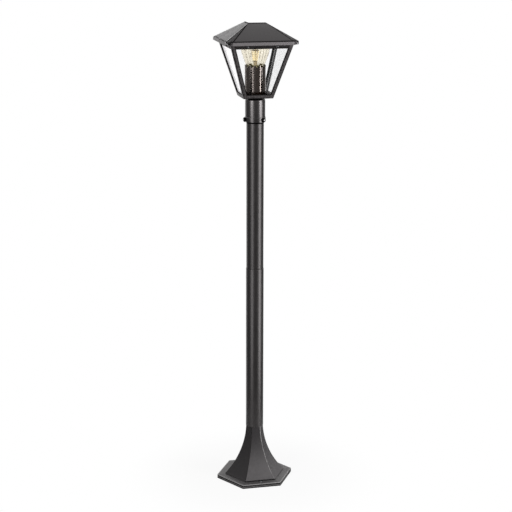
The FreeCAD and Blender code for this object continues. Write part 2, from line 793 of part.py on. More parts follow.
def neck_clamp():
    """Hollow rod and nut that hold collar, lantern floor and lampholder together."""
    nut_base = collar_base + collar_inside - S.nut_thick
    rod_base = nut_base - S.rod_tail
    rod = threaded_rod("neck_rod", floor_top + S.base_floor + S.rod_tail - rod_base)
    return [stand(rod, rod_base), stand(hex_nut("neck_nut"), nut_base)]


# ---------------------------------------------------------------- lantern

# The frame's walls lean out by frame_slope for each millimetre of height.
frame_head = S.eave_width - 2 * S.eave_reach
frame_slope = (frame_head - S.frame_foot) / 2 / S.frame_rise
slant = root(1 + frame_slope * frame_slope)
wall_across = S.frame_wall * slant
pane_across = S.glass_thick * slant


def frame_half(up):
    """Half the frame's outer width at a height above its underside."""
    return S.frame_foot / 2 + frame_slope * up


def pane_face(up):
    """Distance from the axis to a pane's outer face at a height above the frame's underside."""
    return frame_half(up) - wall_across - S.glass_gap * slant


def lantern_frame():
    """Four-sided cage: floor, rails and four angle-section struts from one leaning shell."""
    body = new_body("lantern_frame")
    pad(body, square(new_sketch(body, "FrameHead"), frame_head), S.frame_rise)
    leaning_sides(body, "FrameSides", S.frame_foot / 2, 0, frame_head / 2, S.frame_rise)
    core = new_body("FrameCavity")
    mouth = frame_head / 2 - wall_across
    above = new_sketch(core, "CavityMouth", up=S.frame_floor)
    pad(core, square(above, 2 * mouth), S.frame_rise - S.frame_floor)
    leaning_sides(core, "CavitySides", frame_half(S.frame_floor) - wall_across, S.frame_floor,
                  mouth, S.frame_rise)
    cut_by(body, core)
    sill = S.low_rail
    lintel = S.frame_rise - S.high_rail
    side_low = frame_half(sill) - S.strut_width
    side_high = frame_half(lintel) - S.strut_width
    for role in ("XZ_Plane", "YZ_Plane"):
        window = new_sketch(body, "Window" + role[:2], role)
        trace(window, [
            (side_low, sill), (side_high, lintel), (-side_high, lintel), (-side_low, sill)])
        opened = pocket(body, window, both=True)
    # Each corner of a window is one short edge through the wall.
    corners = edges_where(opened, lambda p, q: near(p.z, sill, lintel) and near(q.z, p.z)
                          and any(near(abs(a), side_low, side_high) and near(a, b)
                                  for a, b in ((p.x, q.x), (p.y, q.y))))
    dress(body, "Fillet", opened, corners, S.window_round)
    ridge = new_sketch(body, "GlassRidge", up=S.frame_floor)
    outer = 2 * (pane_face(S.frame_floor + S.glass_gap) - pane_across - S.glass_gap)
    square(ridge, outer)
    square(ridge, outer - 2 * S.ridge_thick)
    pad(body, ridge, S.ridge_rise)
    pocket(body, ring(new_sketch(body, "NeckHole"), S.rod_dia + 4 * S.fit_gap), reverse=True)
    hole = roof_screw_hole(body)
    around(body, hole, 2)
    other = roof_screw_hole(body, -1)
    around(body, other, 2)
    return stand(body, frame_base)


def roof_screw_point():
    """Distance out, height above the frame's underside, and dip of the roof's pinch screws."""
    up = S.frame_rise - S.roof_screw_down
    return frame_half(up), up, lean(frame_slope)


def roof_screw_hole(body, side=1):
    """Tapped hole through the high rail, square to its leaning face."""
    out, up, dip = roof_screw_point()
    name = "PinchHole" + ("Right" if side > 0 else "Left")
    sketch = body.newObject("Sketcher::SketchObject", name)
    sketch.AttachmentSupport = [(origin_part(body, "XZ_Plane"), "")]
    sketch.MapMode = "FlatFace"
    lay = Rotation(Vector(1, 0, 0), dip.value)
    sketch.AttachmentOffset = Placement(Vector(0, up.value, out.value), lay)
    bind(sketch, ".AttachmentOffset.Base.y", up)
    bind(sketch, ".AttachmentOffset.Base.z", out)
    bind(sketch, ".AttachmentOffset.Rotation.Angle", dip)
    ring(sketch, S.roof_screw_dia + 2 * S.swivel_gap, side * S.roof_screw_out, 0)
    return pocket(body, sketch, 2 * S.frame_wall, both=True)


def pane(name, turn, narrower):
    """Leaning trapezoid of glass behind a window; the side panes stand between the other two."""
    body = new_body(name)
    foot_up = S.frame_floor + S.glass_gap
    head_up = S.frame_rise - S.glass_drop
    low = pane_face(foot_up) - S.glass_gap - narrower
    high = pane_face(head_up) - S.glass_gap - narrower
    slope_rise = (head_up - foot_up) * slant
    outline = new_sketch(body, name + "Outline", "XZ_Plane")
    trace(outline, [(low, 0), (high, slope_rise), (-high, slope_rise), (-low, 0)])
    pad(body, outline, S.glass_thick, reverse=True)
    heading = math.radians(turn)
    lay = Rotation(Vector(0, 0, 1), turn) * Rotation(Vector(1, 0, 0), lean(frame_slope).value)
    body.Placement = Placement(Vector(0, 0, 0), lay)
    out = pane_face(foot_up)
    bind(body, ".Placement.Base.x", out * math.sin(heading))
    bind(body, ".Placement.Base.y", out * -math.cos(heading))
    return stand(body, frame_base + foot_up)


# ---------------------------------------------------------------- lampholder


def lampholder():
    """Base, insulating body, threaded shell, centre contact and the notched outer sleeve."""
    sleeve_bore = S.sleeve_dia / 2 - S.sleeve_wall
    outer = sleeve_bore - 2 * S.fit_gap
    inner = outer - S.base_wall
    thread = S.rod_dia / 2 + S.thread_gap
    base = turned("holder_base", [
        (thread, 0), (outer, 0), (outer, S.base_rise), (inner, S.base_rise),
        (inner, S.base_floor), (thread, S.base_floor),
    ])
    side = S.body_dia / 2
    shell_out = S.shell_bore / 2 + S.shell_wall
    seat = shell_out + S.fit_gap
    flange = outer - 2 * S.fit_gap
    body = turned("holder_body", [
        (0, 0), (flange, 0), (flange, S.body_floor), (side, S.body_floor), (side, S.body_rise - 1),
        (side - 1, S.body_rise), (seat, S.body_rise), (seat, S.body_floor), (0, S.body_floor),
    ])
    shell = turned("holder_shell", [
        (S.shell_bore / 2, 0), (shell_out, 0), (shell_out, S.shell_rise), (S.shell_bore / 2, S.shell_rise)])
    contact = new_body("holder_contact")
    strip = new_sketch(contact, "ContactStrip", "XZ_Plane")
    sheet = S.contact_sheet
    rise = S.contact_rise
    reach = S.shell_bore / 2 - 2 * S.shell_wall
    trace(strip, [
        (-reach, 0), (-reach / 2, 0), (0, rise - sheet), (reach / 2, rise - sheet), (reach / 2, rise),
        (-sheet / 2, rise), (-reach / 2 - sheet / 2, sheet), (-reach, sheet),
    ])
    pad(contact, strip, S.bulb_tip_dia * 0.6, both=True)
    sleeve = turned("holder_sleeve", [
        (sleeve_bore, 0), (S.sleeve_dia / 2, 0),
        (S.sleeve_dia / 2, S.sleeve_rise), (sleeve_bore, S.sleeve_rise)])
    notch = new_sketch(sleeve, "RimNotch", "XZ_Plane")
    half = S.notch_wide / 2
    low = S.sleeve_rise - S.notch_deep
    high = S.sleeve_rise + 1
    trace(notch, [(half, low), (half, high), (-half, high), (-half, low)])
    around(sleeve, pocket(sleeve, notch, S.sleeve_dia, reverse=True), S.notch_count)
    body_base = floor_top + S.base_rise
    body_floor = body_base + S.body_floor
    return [
        stand(base, floor_top),
        stand(body, body_base),
        stand(shell, body_floor + S.shell_lift),
        stand(contact, body_floor),
        stand(sleeve, floor_top),
    ]


# ---------------------------------------------------------------- bulb


def touch(across, up, centre_up, radius):
    """Where a straight line up from a point touches a ball that stands on the axis."""
    below = centre_up - up
    square_off = across * across + below * below
    run = root(square_off - radius * radius)
    out = radius * (across * radius + below * run) / square_off
    return out, centre_up - radius * (below * radius - across * run) / square_off


def bulb():
    """Clear bulb: cap, insulator, contact, glass envelope, stem, wire rings and glowing rods."""
    tip = floor_top + S.base_rise + S.body_floor + S.contact_rise + S.slide_gap
    tip_side = S.bulb_tip_dia / 2
    contact = turned("bulb_contact", [
        (0, 0), (tip_side - 1, 0), (tip_side, S.bulb_tip_rise), (0, S.bulb_tip_rise)])
    cap_base = S.bulb_tip_rise + S.bulb_insulator_rise
    cap = S.bulb_cap_dia / 2
    wall = S.bulb_cap_wall
    waist = cap - 2
    insulator = turned("bulb_insulator", [
        (0, S.bulb_tip_rise), (tip_side + 0.8, S.bulb_tip_rise), (waist, cap_base), (0, cap_base)])
    cap_top = cap_base + S.bulb_cap_rise
    shell = turned("bulb_cap", [
        (waist - wall, cap_base), (waist, cap_base), (cap, cap_base + 2), (cap, cap_top),
        (cap - wall, cap_top), (cap - wall, cap_base + 2),
    ])
    root_up = cap_top - S.bulb_cap_rise / 4
    root_side = cap - wall - S.fit_gap
    glass = S.bulb_glass
    neck = S.bulb_neck_dia / 2
    throat = S.bulb_throat_dia / 2
    ball = S.bulb_dia / 2
    bore = ball - glass
    ball_up = S.bulb_wide_up
    inner_up = S.bulb_throat_up + glass / 2
    envelope = turned("bulb_glass", [
        (root_side - glass, root_up), (root_side, root_up), (root_side, cap_top),
        (neck, S.bulb_neck_up + 0.5, -S.bulb_neck_bow), (throat, S.bulb_throat_up),
        (*touch(throat, S.bulb_throat_up, ball_up, ball), ball), (0, ball_up + ball),
        (0, ball_up + bore, -bore), touch(throat - glass, inner_up, ball_up, bore),
        (throat - glass, inner_up, S.bulb_neck_bow + glass),
        (neck - glass, S.bulb_neck_up + 0.5), (root_side - glass, cap_top),
    ])
    press = S.stem_press_up
    stem_side = root_side - glass - S.fit_gap
    rod_top = press + S.filament_length + 4
    stem = turned("bulb_stem", [
        (0, root_up), (stem_side, root_up), (stem_side, root_up + 1), (5, root_up + 12), (3.2, press - 6),
        (S.stem_press_wide / 2, press - 3), (S.stem_press_wide / 2, press), (1.5, press),
        (1.5, rod_top), (0, rod_top + 1),
    ])
    parts = [contact, insulator, shell, envelope, stem]
    for part in parts:
        stand(part, tip)
    return parts + [filaments(tip), filament_rings(tip)]


def filaments(tip):
    """Straight rods that lean outward from the low ring to the high ring."""
    low = S.filament_low_circle / 2
    high = S.filament_high_circle / 2
    run = high - low
    count = int(round(S.filament_count.value))
    members = []
    for number in range(count):
        rod = doc.addObject("Part::Cylinder", "GlowRod%d" % (number + 1))
        bind(rod, "Radius", S.filament_dia / 2)
        bind(rod, "Height", root(run * run + S.filament_length * S.filament_length))
        turn = 2 * math.pi * number / count
        tilt = math.degrees(math.atan(run.value / S.filament_length.value))
        spread = Rotation(Vector(0, 0, 1), math.degrees(turn)) * Rotation(Vector(0, 1, 0), tilt)
        rod.Placement = Placement(Vector(0, 0, 0), spread)
        bind(rod, ".Placement.Base.x", low * math.cos(turn))
        bind(rod, ".Placement.Base.y", low * math.sin(turn))
        bind(rod, ".Placement.Base.z", tip + S.stem_press_up + S.wire_dia + 2 * S.fit_gap)
        members.append(rod)
    return group("bulb_filaments", members)


def filament_rings(tip):
    """The two rings of the filament frame, one under and one over the rods."""
    members = []
    low_up = S.stem_press_up
    high_up = S.stem_press_up + 1.5 * S.wire_dia + S.filament_length
    for name, circle, up in (
            ("LowRing", S.filament_low_circle, low_up), ("HighRing", S.filament_high_circle, high_up)):
        inner = (circle - S.wire_dia) / 2
        outer = (circle + S.wire_dia) / 2
        wire = turned(name, [(inner, 0), (outer, 0), (outer, S.wire_dia), (inner, S.wire_dia)])
        members.append(stand(wire, tip + up))
    return group("filament_rings", members)


# ---------------------------------------------------------------- roof

eave_half = S.eave_width / 2
flat_half = S.roof_flat / 2
roof_pitch = S.roof_rise / (eave_half - flat_half)
cut_out = ROOT2 * (eave_half - S.corner_cut / 2)
cut_pitch = S.roof_rise / (cut_out - ROOT2 * flat_half)


def ceiling_at(out):
    """Height of the roof's inner face above the fascia's lower edge, out from the axis."""
    drop = S.roof_wall * root(1 + roof_pitch * roof_pitch)
    return S.fascia_rise - drop + (eave_half - out) * roof_pitch


def roof_form(name, shrink):
    """Truncated pyramid over an upright fascia, its corners bevelled, all faces moved in by shrink."""
    body = new_body(name)
    side = eave_half - shrink
    drop = shrink * root(1 + roof_pitch * roof_pitch)
    spring = S.fascia_rise - drop + shrink * roof_pitch
    top = S.fascia_rise + S.roof_rise - shrink
    crown = eave_half - (top - S.fascia_rise + drop) / roof_pitch
    pad(body, square(new_sketch(body, name + "Fascia"), 2 * side), top)
    leaning_sides(body, name + "Slopes", side, spring, crown, top)
    cut_drop = shrink * root(1 + cut_pitch * cut_pitch)
    near = cut_out - shrink
    near_up = S.fascia_rise - cut_drop + shrink * cut_pitch
    top_out = cut_out - (top - S.fascia_rise + cut_drop) / cut_pitch
    far = 2 * eave_half
    bevel = new_sketch(body, name + "Corner", "XZ_Plane", turn=45)
    trace(bevel, [
        (near, -5), (far, -5), (far, top + 5), (top_out - 5 / cut_pitch, top + 5), (near, near_up)])
    around(body, pocket(body, bevel, both=True), 4)
    return body


def tray_screw_out():
    """The tray's screws stand halfway between its skirt and the frame's wall."""
    return (skirt_half() + frame_head / 2 - wall_across) / 2


def roof_shell():
    """Hollow roof with four bosses for the tray's screws."""
    outer = roof_form("RoofOuter", Size(0))
    core = roof_form("RoofCore", S.roof_wall)
    boss = new_sketch(core, "TrayBoss", up=tray_base - roof_base + S.tray_sheet)
    ring(boss, S.tray_boss_dia, tray_screw_out(), 0)
    ring(boss, S.tray_screw_dia + 2 * S.thread_gap, tray_screw_out(), 0)
    around(core, pocket(core, boss, reverse=True), 4)
    shell = doc.addObject("Part::Cut", "roof_shell")
    shell.Label = "roof_shell"
    shell.Base = outer
    shell.Tool = core
    return stand(shell, roof_base)


def skirt_half():
    """Half width of the tray's skirt, which hangs just inside the panes."""
    low = S.frame_rise - S.tray_skirt_drop
    return pane_face(low) - pane_across - S.slide_gap


def roof_tray():
    """Folded sheet under the roof: a flat that sits on the seal and a skirt that hangs inside."""
    body = new_body("roof_tray")
    reach = eave_half - S.roof_wall - S.slide_gap
    cut = 2 * reach - (cut_out - S.roof_wall - S.slide_gap) * ROOT2
    near = reach - cut
    inner = skirt_half() - S.tray_sheet
    rim = new_sketch(body, "TrayFlat")
    trace(rim, [
        (reach, -near), (reach, near), (near, reach), (-near, reach),
        (-reach, near), (-reach, -near), (-near, -reach), (near, -reach),
    ])
    square(rim, 2 * inner)
    pad(body, rim, S.tray_sheet)
    skirt = new_sketch(body, "TraySkirt")
    square(skirt, 2 * skirt_half())
    square(skirt, 2 * inner)
    pad(body, skirt, tray_base - frame_top + S.tray_skirt_drop, reverse=True)
    hole = new_sketch(body, "TrayHole")
    ring(hole, S.tray_screw_dia + 4 * S.fit_gap, tray_screw_out(), 0)
    around(body, pocket(body, hole, reverse=True), 4)
    return stand(body, tray_base)


def tray_screws():
    members = []
    for number, (east, north) in enumerate(((1, 0), (0, 1), (-1, 0), (0, -1)), 1):
        out = tray_screw_out()
        grip = ceiling_at(out + S.tray_screw_dia / 2) - (tray_base - roof_base) - S.slide_gap
        screw = turned("TrayScrew%d" % number, screw_profile(
            S.tray_screw_dia, grip, S.tray_screw_head, S.tray_screw_head_rise))
        screw.Placement = Placement(Vector(0, 0, 0), Rotation(Vector(1, 0, 0), 180))
        bind(screw, ".Placement.Base.x", out * east)
        bind(screw, ".Placement.Base.y", out * north)
        members.append(stand(screw, tray_base))
    return group("tray_screws", members)


def roof_gasket():
    """Flat seal between the frame's top edge and the tray."""
    body = new_body("roof_gasket")
    outline = new_sketch(body, "GasketOutline")
    square(outline, frame_head - 2 * S.fit_gap)
    square(outline, frame_head - 2 * wall_across + 2 * S.fit_gap)
    pad(body, outline, S.gasket_thick)
    return stand(body, tray_base - S.gasket_thick)


def roof_screw(name, turn, side):
    """Small round-headed screw whose point pinches the tray's skirt from outside."""
    out, up, dip = roof_screw_point()
    reach = (out - skirt_half() - S.point_gap) * slant - S.roof_screw_dia / 2 * frame_slope
    screw = turned(name, screw_profile(
        S.roof_screw_dia, reach, S.roof_screw_head, S.roof_screw_head_rise, S.slide_gap))
    return aim(screw, turn, dip, out, frame_base + up, side * S.roof_screw_out)


# ---------------------------------------------------------------- the whole lamp

keep(floor_plate(), foot_casting(), foot_screws(), cable_gland(), terminal_bracket())
keep(bracket_screw(), terminal_block(), supply_lead())
keep(*foot_clamp())
keep(*post_tubes())
keep(neck_collar())
for place, extra in (("right", 0), ("rear", 120), ("left", 240)):
    keep(set_screw("set_screw_" + place, S.set_screw_turn + extra))
keep(*neck_clamp())
keep(lantern_frame())
keep(pane("glass_front", 0, 0), pane("glass_rear", 180, 0))
keep(pane("glass_right", 90, pane_across), pane("glass_left", 270, pane_across))
keep(*lampholder())
keep(*bulb())
keep(roof_shell(), roof_tray(), roof_gasket(), tray_screws())
for wall, turn, side in (("front", 0, 1), ("rear", 180, -1)):
    keep(roof_screw("roof_screw_%s_right" % wall, turn, side))
    keep(roof_screw("roof_screw_%s_left" % wall, turn, -side))

doc.recompute()

# ---------------------------------------------------------------- checks and files


def faults():
    """Objects that failed, cuts that removed nothing, and pieces without a sound solid."""
    for thing in doc.Objects:
        if "Invalid" in thing.State or "Error" in thing.State:
            yield "%s failed to recompute" % thing.Name
        if thing.TypeId in ("PartDesign::Pocket", "PartDesign::Groove", "PartDesign::SubtractiveLoft"):
            before = thing.BaseFeature.Shape.Volume
            if before - thing.Shape.Volume < 0.01:
                yield "%s cuts nothing" % thing.Name
    for piece in pieces:
        if piece.Shape.isNull() or not piece.Shape.isValid() or not piece.Shape.Solids:
            yield "%s has no valid solid" % piece.Label


problems = list(faults())
if problems:
    raise RuntimeError("; ".join(problems))

os.makedirs("parts", exist_ok=True)
for piece in pieces:
    piece.Shape.exportStep("parts/%s.step" % piece.Label)
print("%d pieces written, overall height %.1f mm" % (
    len(pieces), max(piece.Shape.BoundBox.ZMax for piece in pieces)))
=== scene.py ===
"""Looks of the lantern floor lamp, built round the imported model. Lengths are in millimetres."""

import math

import bmesh
import bpy
from mathutils import Matrix, Vector, noise


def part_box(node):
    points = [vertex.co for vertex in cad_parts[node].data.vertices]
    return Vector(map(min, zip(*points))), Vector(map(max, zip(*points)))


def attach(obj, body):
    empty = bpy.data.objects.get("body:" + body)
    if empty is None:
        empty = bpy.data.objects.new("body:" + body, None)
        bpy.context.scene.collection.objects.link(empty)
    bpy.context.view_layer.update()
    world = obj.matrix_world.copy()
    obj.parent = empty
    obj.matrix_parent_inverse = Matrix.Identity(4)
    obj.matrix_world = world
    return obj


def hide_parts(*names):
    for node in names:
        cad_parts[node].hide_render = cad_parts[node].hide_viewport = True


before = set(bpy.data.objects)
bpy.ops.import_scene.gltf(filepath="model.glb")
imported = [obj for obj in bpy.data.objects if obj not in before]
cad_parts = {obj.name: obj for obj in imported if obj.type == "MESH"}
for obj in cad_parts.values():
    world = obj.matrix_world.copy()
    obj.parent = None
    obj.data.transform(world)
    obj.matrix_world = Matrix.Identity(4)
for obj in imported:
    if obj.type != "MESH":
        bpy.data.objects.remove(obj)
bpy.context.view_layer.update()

MM = 0.001


def low(node):
    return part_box(node)[0] / MM


def high(node):
    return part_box(node)[1] / MM


# ---------------------------------------------------------------- measurements

FLANGE_BASE = low("foot_casting").z
FLANGE_FLAT = high("foot_casting").y
FLANGE_THICK = 4.5
HEXAGON_TURN = math.pi / 6
FLARE_FLAT = 57.85
FLARE_BOW = 185.0
FOOT_WALL = 3.5
CROWN_THICK = 24.0
GROOVE_RISE = 1.2
GROOVE_DEPTH = 1.3
FOOT_TOP = low("lower_tube").z
TUBE_WALL = 1.5
COLLAR_BASE = low("neck_collar").z
COLLAR_SIDE = 21.15
BAND_RISE = 10.0
NECK_RISE = 4.5
NECK_BORE = 6.7
SET_SCREW_TURNS = {"set_screw_right": 36, "set_screw_rear": 156, "set_screw_left": 276}
FRAME_BASE = low("lantern_frame").z
FRAME_TOP = high("lantern_frame").z
FRAME_HEAD = high("lantern_frame").x
FRAME_FOOT = 31.3
FRAME_WALL = 3.0
FRAME_FLOOR = 3.0
STRUT = 9.0
LOW_RAIL = 9.0
HIGH_RAIL = 8.2
SLOPE = (FRAME_HEAD - FRAME_FOOT) / (FRAME_TOP - FRAME_BASE)
TILT = math.atan(SLOPE)
WALL_ACROSS = FRAME_WALL / math.cos(TILT)
PANE_THICK = 3.0
PANE_GAP = 0.2
SLEEVE_SIDE = high("holder_sleeve").x
SLEEVE_WALL = 1.2
NOTCHES = 12
BULB_TIP = low("bulb_contact").z
BULB_WIDE_UP = 76.5
BULB_PRESS_UP = 50.0
LOW_RING = 4.2
HIGH_RING = 7.5
EAVE = high("roof_shell").x
ROOF_BASE = low("roof_shell").z
ROOF_TOP = high("roof_shell").z
ROOF_FLAT = 17.6
FASCIA = 6.6
CORNER_CUT = 13.0
ROOF_WALL = 3.0

# ---------------------------------------------------------------- shader building


class Value:
    """A number that changes over a surface. Python's operators add Math nodes."""

    def __init__(self, finish, socket):
        self.finish = finish
        self.socket = socket

    def maths(self, operation, first, second):
        return self.finish.add("ShaderNodeMath", {"operation": operation}, {0: first, 1: second})

    def __add__(self, other):
        return self.maths("ADD", self, other)

    __radd__ = __add__

    def __sub__(self, other):
        return self.maths("SUBTRACT", self, other)

    def __rsub__(self, other):
        return self.maths("SUBTRACT", other, self)

    def __mul__(self, other):
        return self.maths("MULTIPLY", self, other)

    __rmul__ = __mul__

    def __truediv__(self, other):
        return self.maths("DIVIDE", self, other)

    def __pow__(self, other):
        return self.maths("POWER", self, other)

    def or_more(self, other):
        return self.maths("MAXIMUM", self, other)


class Nodes:
    """A node tree that is filled by plain expressions."""

    def __init__(self, tree):
        self.tree = tree

    def add(self, kind, settings=None, sockets=None, output=0):
        """One node: its settings first, then the values or links of its sockets."""
        node = self.tree.nodes.new(kind)
        for name, setting in (settings or {}).items():
            if name == "stops":
                self.fill_ramp(node.color_ramp, setting)
            else:
                setattr(node, name, setting)
        for name, value in (sockets or {}).items():
            self.join(node.inputs[name], value)
        return Value(self, node.outputs[output])

    def join(self, socket, value):
        if isinstance(value, Value):
            self.tree.links.new(value.socket, socket)
        else:
            socket.default_value = value

    def ease(self, value, first, last, low, high):
        """A soft step from low to high as a value runs from first to last."""
        return self.add("ShaderNodeMapRange", {"interpolation_type": "SMOOTHSTEP"}, {
            "Value": value, "From Min": first, "From Max": last, "To Min": low, "To Max": high})

    def fill_ramp(self, ramp, stops):
        while len(ramp.elements) < len(stops):
            ramp.elements.new(0.5)
        for element, (place, colour) in zip(ramp.elements, stops):
            element.position = place
            element.color = (*colour, 1.0)


class Finish(Nodes):
    """A material being put together from nodes."""

    def __init__(self, name, colour, roughness, metallic=0.0, **fixed):
        self.material = bpy.data.materials.new(name)
        self.material.use_nodes = True
        super().__init__(self.material.node_tree)
        self.shader = self.tree.nodes["Principled BSDF"]
        self.set("Base Color", (*colour, 1.0))
        self.set("Roughness", roughness)
        self.set("Metallic", metallic)
        for socket, value in fixed.items():
            self.set(socket.replace("_", " "), value)

    def set(self, socket, value):
        self.join(self.shader.inputs[socket], value)
        return self

    def place(self):
        """Where a point is, in metres, in the lamp's own frame."""
        return self.add("ShaderNodeTexCoord", output="Object")

    def stretched(self, scale):
        return self.add("ShaderNodeMapping", {}, {"Vector": self.place(), "Scale": scale})

    def axis(self, name):
        """One coordinate of a point, in metres."""
        return self.add("ShaderNodeSeparateXYZ", {}, {0: self.place()}, output=name)

    def size_of(self, value):
        return self.add("ShaderNodeMath", {"operation": "ABSOLUTE"}, {0: value})

    def maths(self, operation, first, second):
        return self.add("ShaderNodeMath", {"operation": operation}, {0: first, 1: second})

    def band(self, value, first, last, soft):
        """One between two limits and nothing outside, with soft ends."""
        return self.ease(value, first - soft, first + soft, 0.0, 1.0) * self.ease(
            value, last + soft, last - soft, 0.0, 1.0)

    def grain(self, size, detail=3.0, roughness=0.55, stretch=(1, 1, 1)):
        """Cloudy noise from 0 to 1 whose lumps are about as large as size."""
        return self.add("ShaderNodeTexNoise", {}, {
            "Vector": self.stretched(stretch), "Scale": 1.0 / (size * MM),
            "Detail": detail, "Roughness": roughness})

    def blend(self, share, first, second):
        return self.add("ShaderNodeMix", {"data_type": "RGBA"}, {
            0: share, "A": self.colour(first), "B": self.colour(second)}, output=2)

    def colour(self, value):
        return value if isinstance(value, Value) else (*value, 1.0)

    def relief(self, height, depth, below=None):
        """A bump as deep as depth, over an earlier one."""
        sockets = {"Height": height, "Strength": 1.0, "Distance": depth * MM}
        if below:
            sockets["Normal"] = below
        return self.add("ShaderNodeBump", {}, sockets)


# Colour of painted shade and painted shadow.
SHADOW = (0.001, 0.001, 0.001)


def powder_coat(name, colour, roughness, gloss, peel=1.1, depth=0.035, patchy=0.1, marks=None):
    """Satin black powder coat: fine orange peel, a breath of dusty tone, patches of smoother coat, and marks of
    its own, painted light and shade among them.
    """
    finish = Finish(name, colour, roughness, Specular_IOR_Level=gloss,
                    Specular_Tint=(1.0, 0.95, 0.955, 1.0))
    pebble = finish.grain(peel, 2.0)
    fleck = finish.grain(0.35, 1.0)
    cloud = finish.grain(26.0, 5.0, 0.65)
    tone = finish.blend(cloud * 0.7 + fleck * 0.3, [c * 0.75 for c in colour], [c * 1.3 for c in colour])
    rough = (roughness - patchy * 0.6) + patchy * cloud + 0.04 * fleck
    for share, shade, dullness in (marks(finish) if marks else ()):
        tone = finish.blend(share, tone, shade)
        rough = rough * (1 - share) + share * dullness
        # Marks in the shadow colour are painted shade: they are also made metallic, so they reflect nothing.
        if shade is SHADOW:
            finish.set("Metallic", share)
    finish.set("Base Color", tone)
    finish.set("Roughness", rough)
    finish.set("Normal", finish.relief(pebble * 0.7 + fleck * 0.3, depth))
    return finish.material


def roof_marks(finish):
    """Pale streaks on the side slopes; the upright edge painted pale as a painted highlight and dark on the
    sides as painted shade; a painted highlight along the side hips; painted shade in lines beside the hips,
    above the upright edge and under the top's lip, on the corner facets and the cut corners; polished top.
    """
    up = finish.axis("Z") / MM
    east, north = (finish.size_of(finish.axis(axis)) / MM for axis in ("X", "Y"))
    rise = ROOF_TOP - ROOF_BASE - FASCIA
    spring = ROOF_BASE + FASCIA
    flank = EAVE - CORNER_CUT
    climb = (up - spring) / rise
    across = finish.maths("MINIMUM", east, north)
    inside = flank - climb * (flank - ROOF_FLAT) - across
    sloped = finish.ease(climb, 0.0, 0.02, 0.0, 1.0)
    below_top = finish.ease(climb, 0.985, 0.965, 0.0, 1.0)
    on_side = finish.ease(east - north, -1.0, 1.0, 0.0, 1.0)
    streaks = finish.ease(finish.grain(8.0, 3.0, 0.7, stretch=(0.1, 1, 0.1)), 0.42, 0.6, 0.0, 1.0)
    mottle = finish.ease(finish.grain(3.0, 3.0, 0.7, stretch=(1, 0.4, 1)), 0.44, 0.58, 0.0, 1.0)
    # Painted highlight: a pale band along the hips of the side slopes.
    side_patch = (finish.ease(inside, 0.0, 0.5, 0.0, 1.0) * finish.ease(inside, 6.5, 1.5, 0.0, 1.0)
              * on_side * below_top)
    # Painted shade: dark lines along the hips, beside the corner facets.
    painted_shade_line = (finish.band(inside, -1.7, 0.1, 0.3)
            + finish.band(inside, 0.0, 0.7, 0.3) * (1 - on_side)) * sloped
    # Painted shade: the corner facets are painted near black.
    facet = finish.ease(inside, 0.5, -0.5, 0.0, 1.0) * (1 - mottle * 0.6)
    # Painted shade: a dark band just above the upright edge.
    arris = finish.band(up, spring + 0.2, spring + 2.2, 0.3) * (1 - on_side * mottle)
    edge = finish.ease(up, spring + 0.3, spring - 0.3, 0.0, 1.0)
    # Painted shade on the cut corners of the upright edge.
    corner = finish.ease(across, flank - 1.0, flank + 0.5, 0.0, 0.9) * edge * (1 - 0.7 * mottle)
    # Painted shade: a dark line just below the flat top.
    front_lip = finish.band(climb, 0.95, 0.985, 0.01)
    flat = finish.ease(climb, 0.99, 0.999, 0.0, 1.0)
    # All the painted shade lines and facets together, in the shadow colour.
    dark = (painted_shade_line * below_top * 0.85).or_more(arris * 0.75).or_more(front_lip * 0.9).or_more(corner)
    finish.set("Coat Weight", flat)
    finish.set("Coat Roughness", 0.06)
    return (
        # Pale streaks on the side slopes only, which also paint those slopes paler than the front and back.
        (on_side * streaks * 0.65, (0.27, 0.265, 0.266), 0.6),
        # Painted highlight: the upright edge is painted pale.
        (edge, (0.145, 0.136, 0.140), 0.5),
        # Painted shade: the upright edge is painted dark again on the sides.
        (on_side * edge * (1 - mottle) * 0.7, (0.02, 0.02, 0.02), 0.5),
        (facet * 0.85, (0.004, 0.004, 0.004), 0.7),
        (side_patch, (0.75, 0.75, 0.75), 0.4),
        (flat, (0.03, 0.03, 0.03), 0.08),
        (dark, SHADOW, 0.9),
    )


def cage_marks(finish):
    """Paler speckled middles on the outer faces of struts and rails; their edges and all inner faces painted
    black as painted shade.
    """
    up = finish.axis("Z") / MM - FRAME_BASE
    east, north = (finish.size_of(finish.axis(axis)) / MM for axis in ("X", "Y"))
    half = FRAME_FOOT + SLOPE * up
    strut = finish.band(half - finish.maths("MINIMUM", east, north), 1.6, STRUT - 1.6, 0.8)
    top = FRAME_TOP - FRAME_BASE
    rail = finish.band(up, 1.4, LOW_RAIL - 1.6, 0.8) + 0.45 * finish.band(up, top - HIGH_RAIL + 1.5, top, 0.8)
    outside = finish.ease(half - finish.maths("MAXIMUM", east, north), 1.6, 1.2, 0.0, 1.0)
    mottle = finish.ease(finish.grain(3.0, 3.0, 0.7), 0.4, 0.58, 0.15, 1.0)
    middle = strut.or_more(rail) * outside
    return (
        (middle * mottle, (0.052, 0.047, 0.048), 0.5),
        # Painted shade: edges and inner faces are painted black.
        ((1 - middle) * 0.8, SHADOW, 0.7),
    )


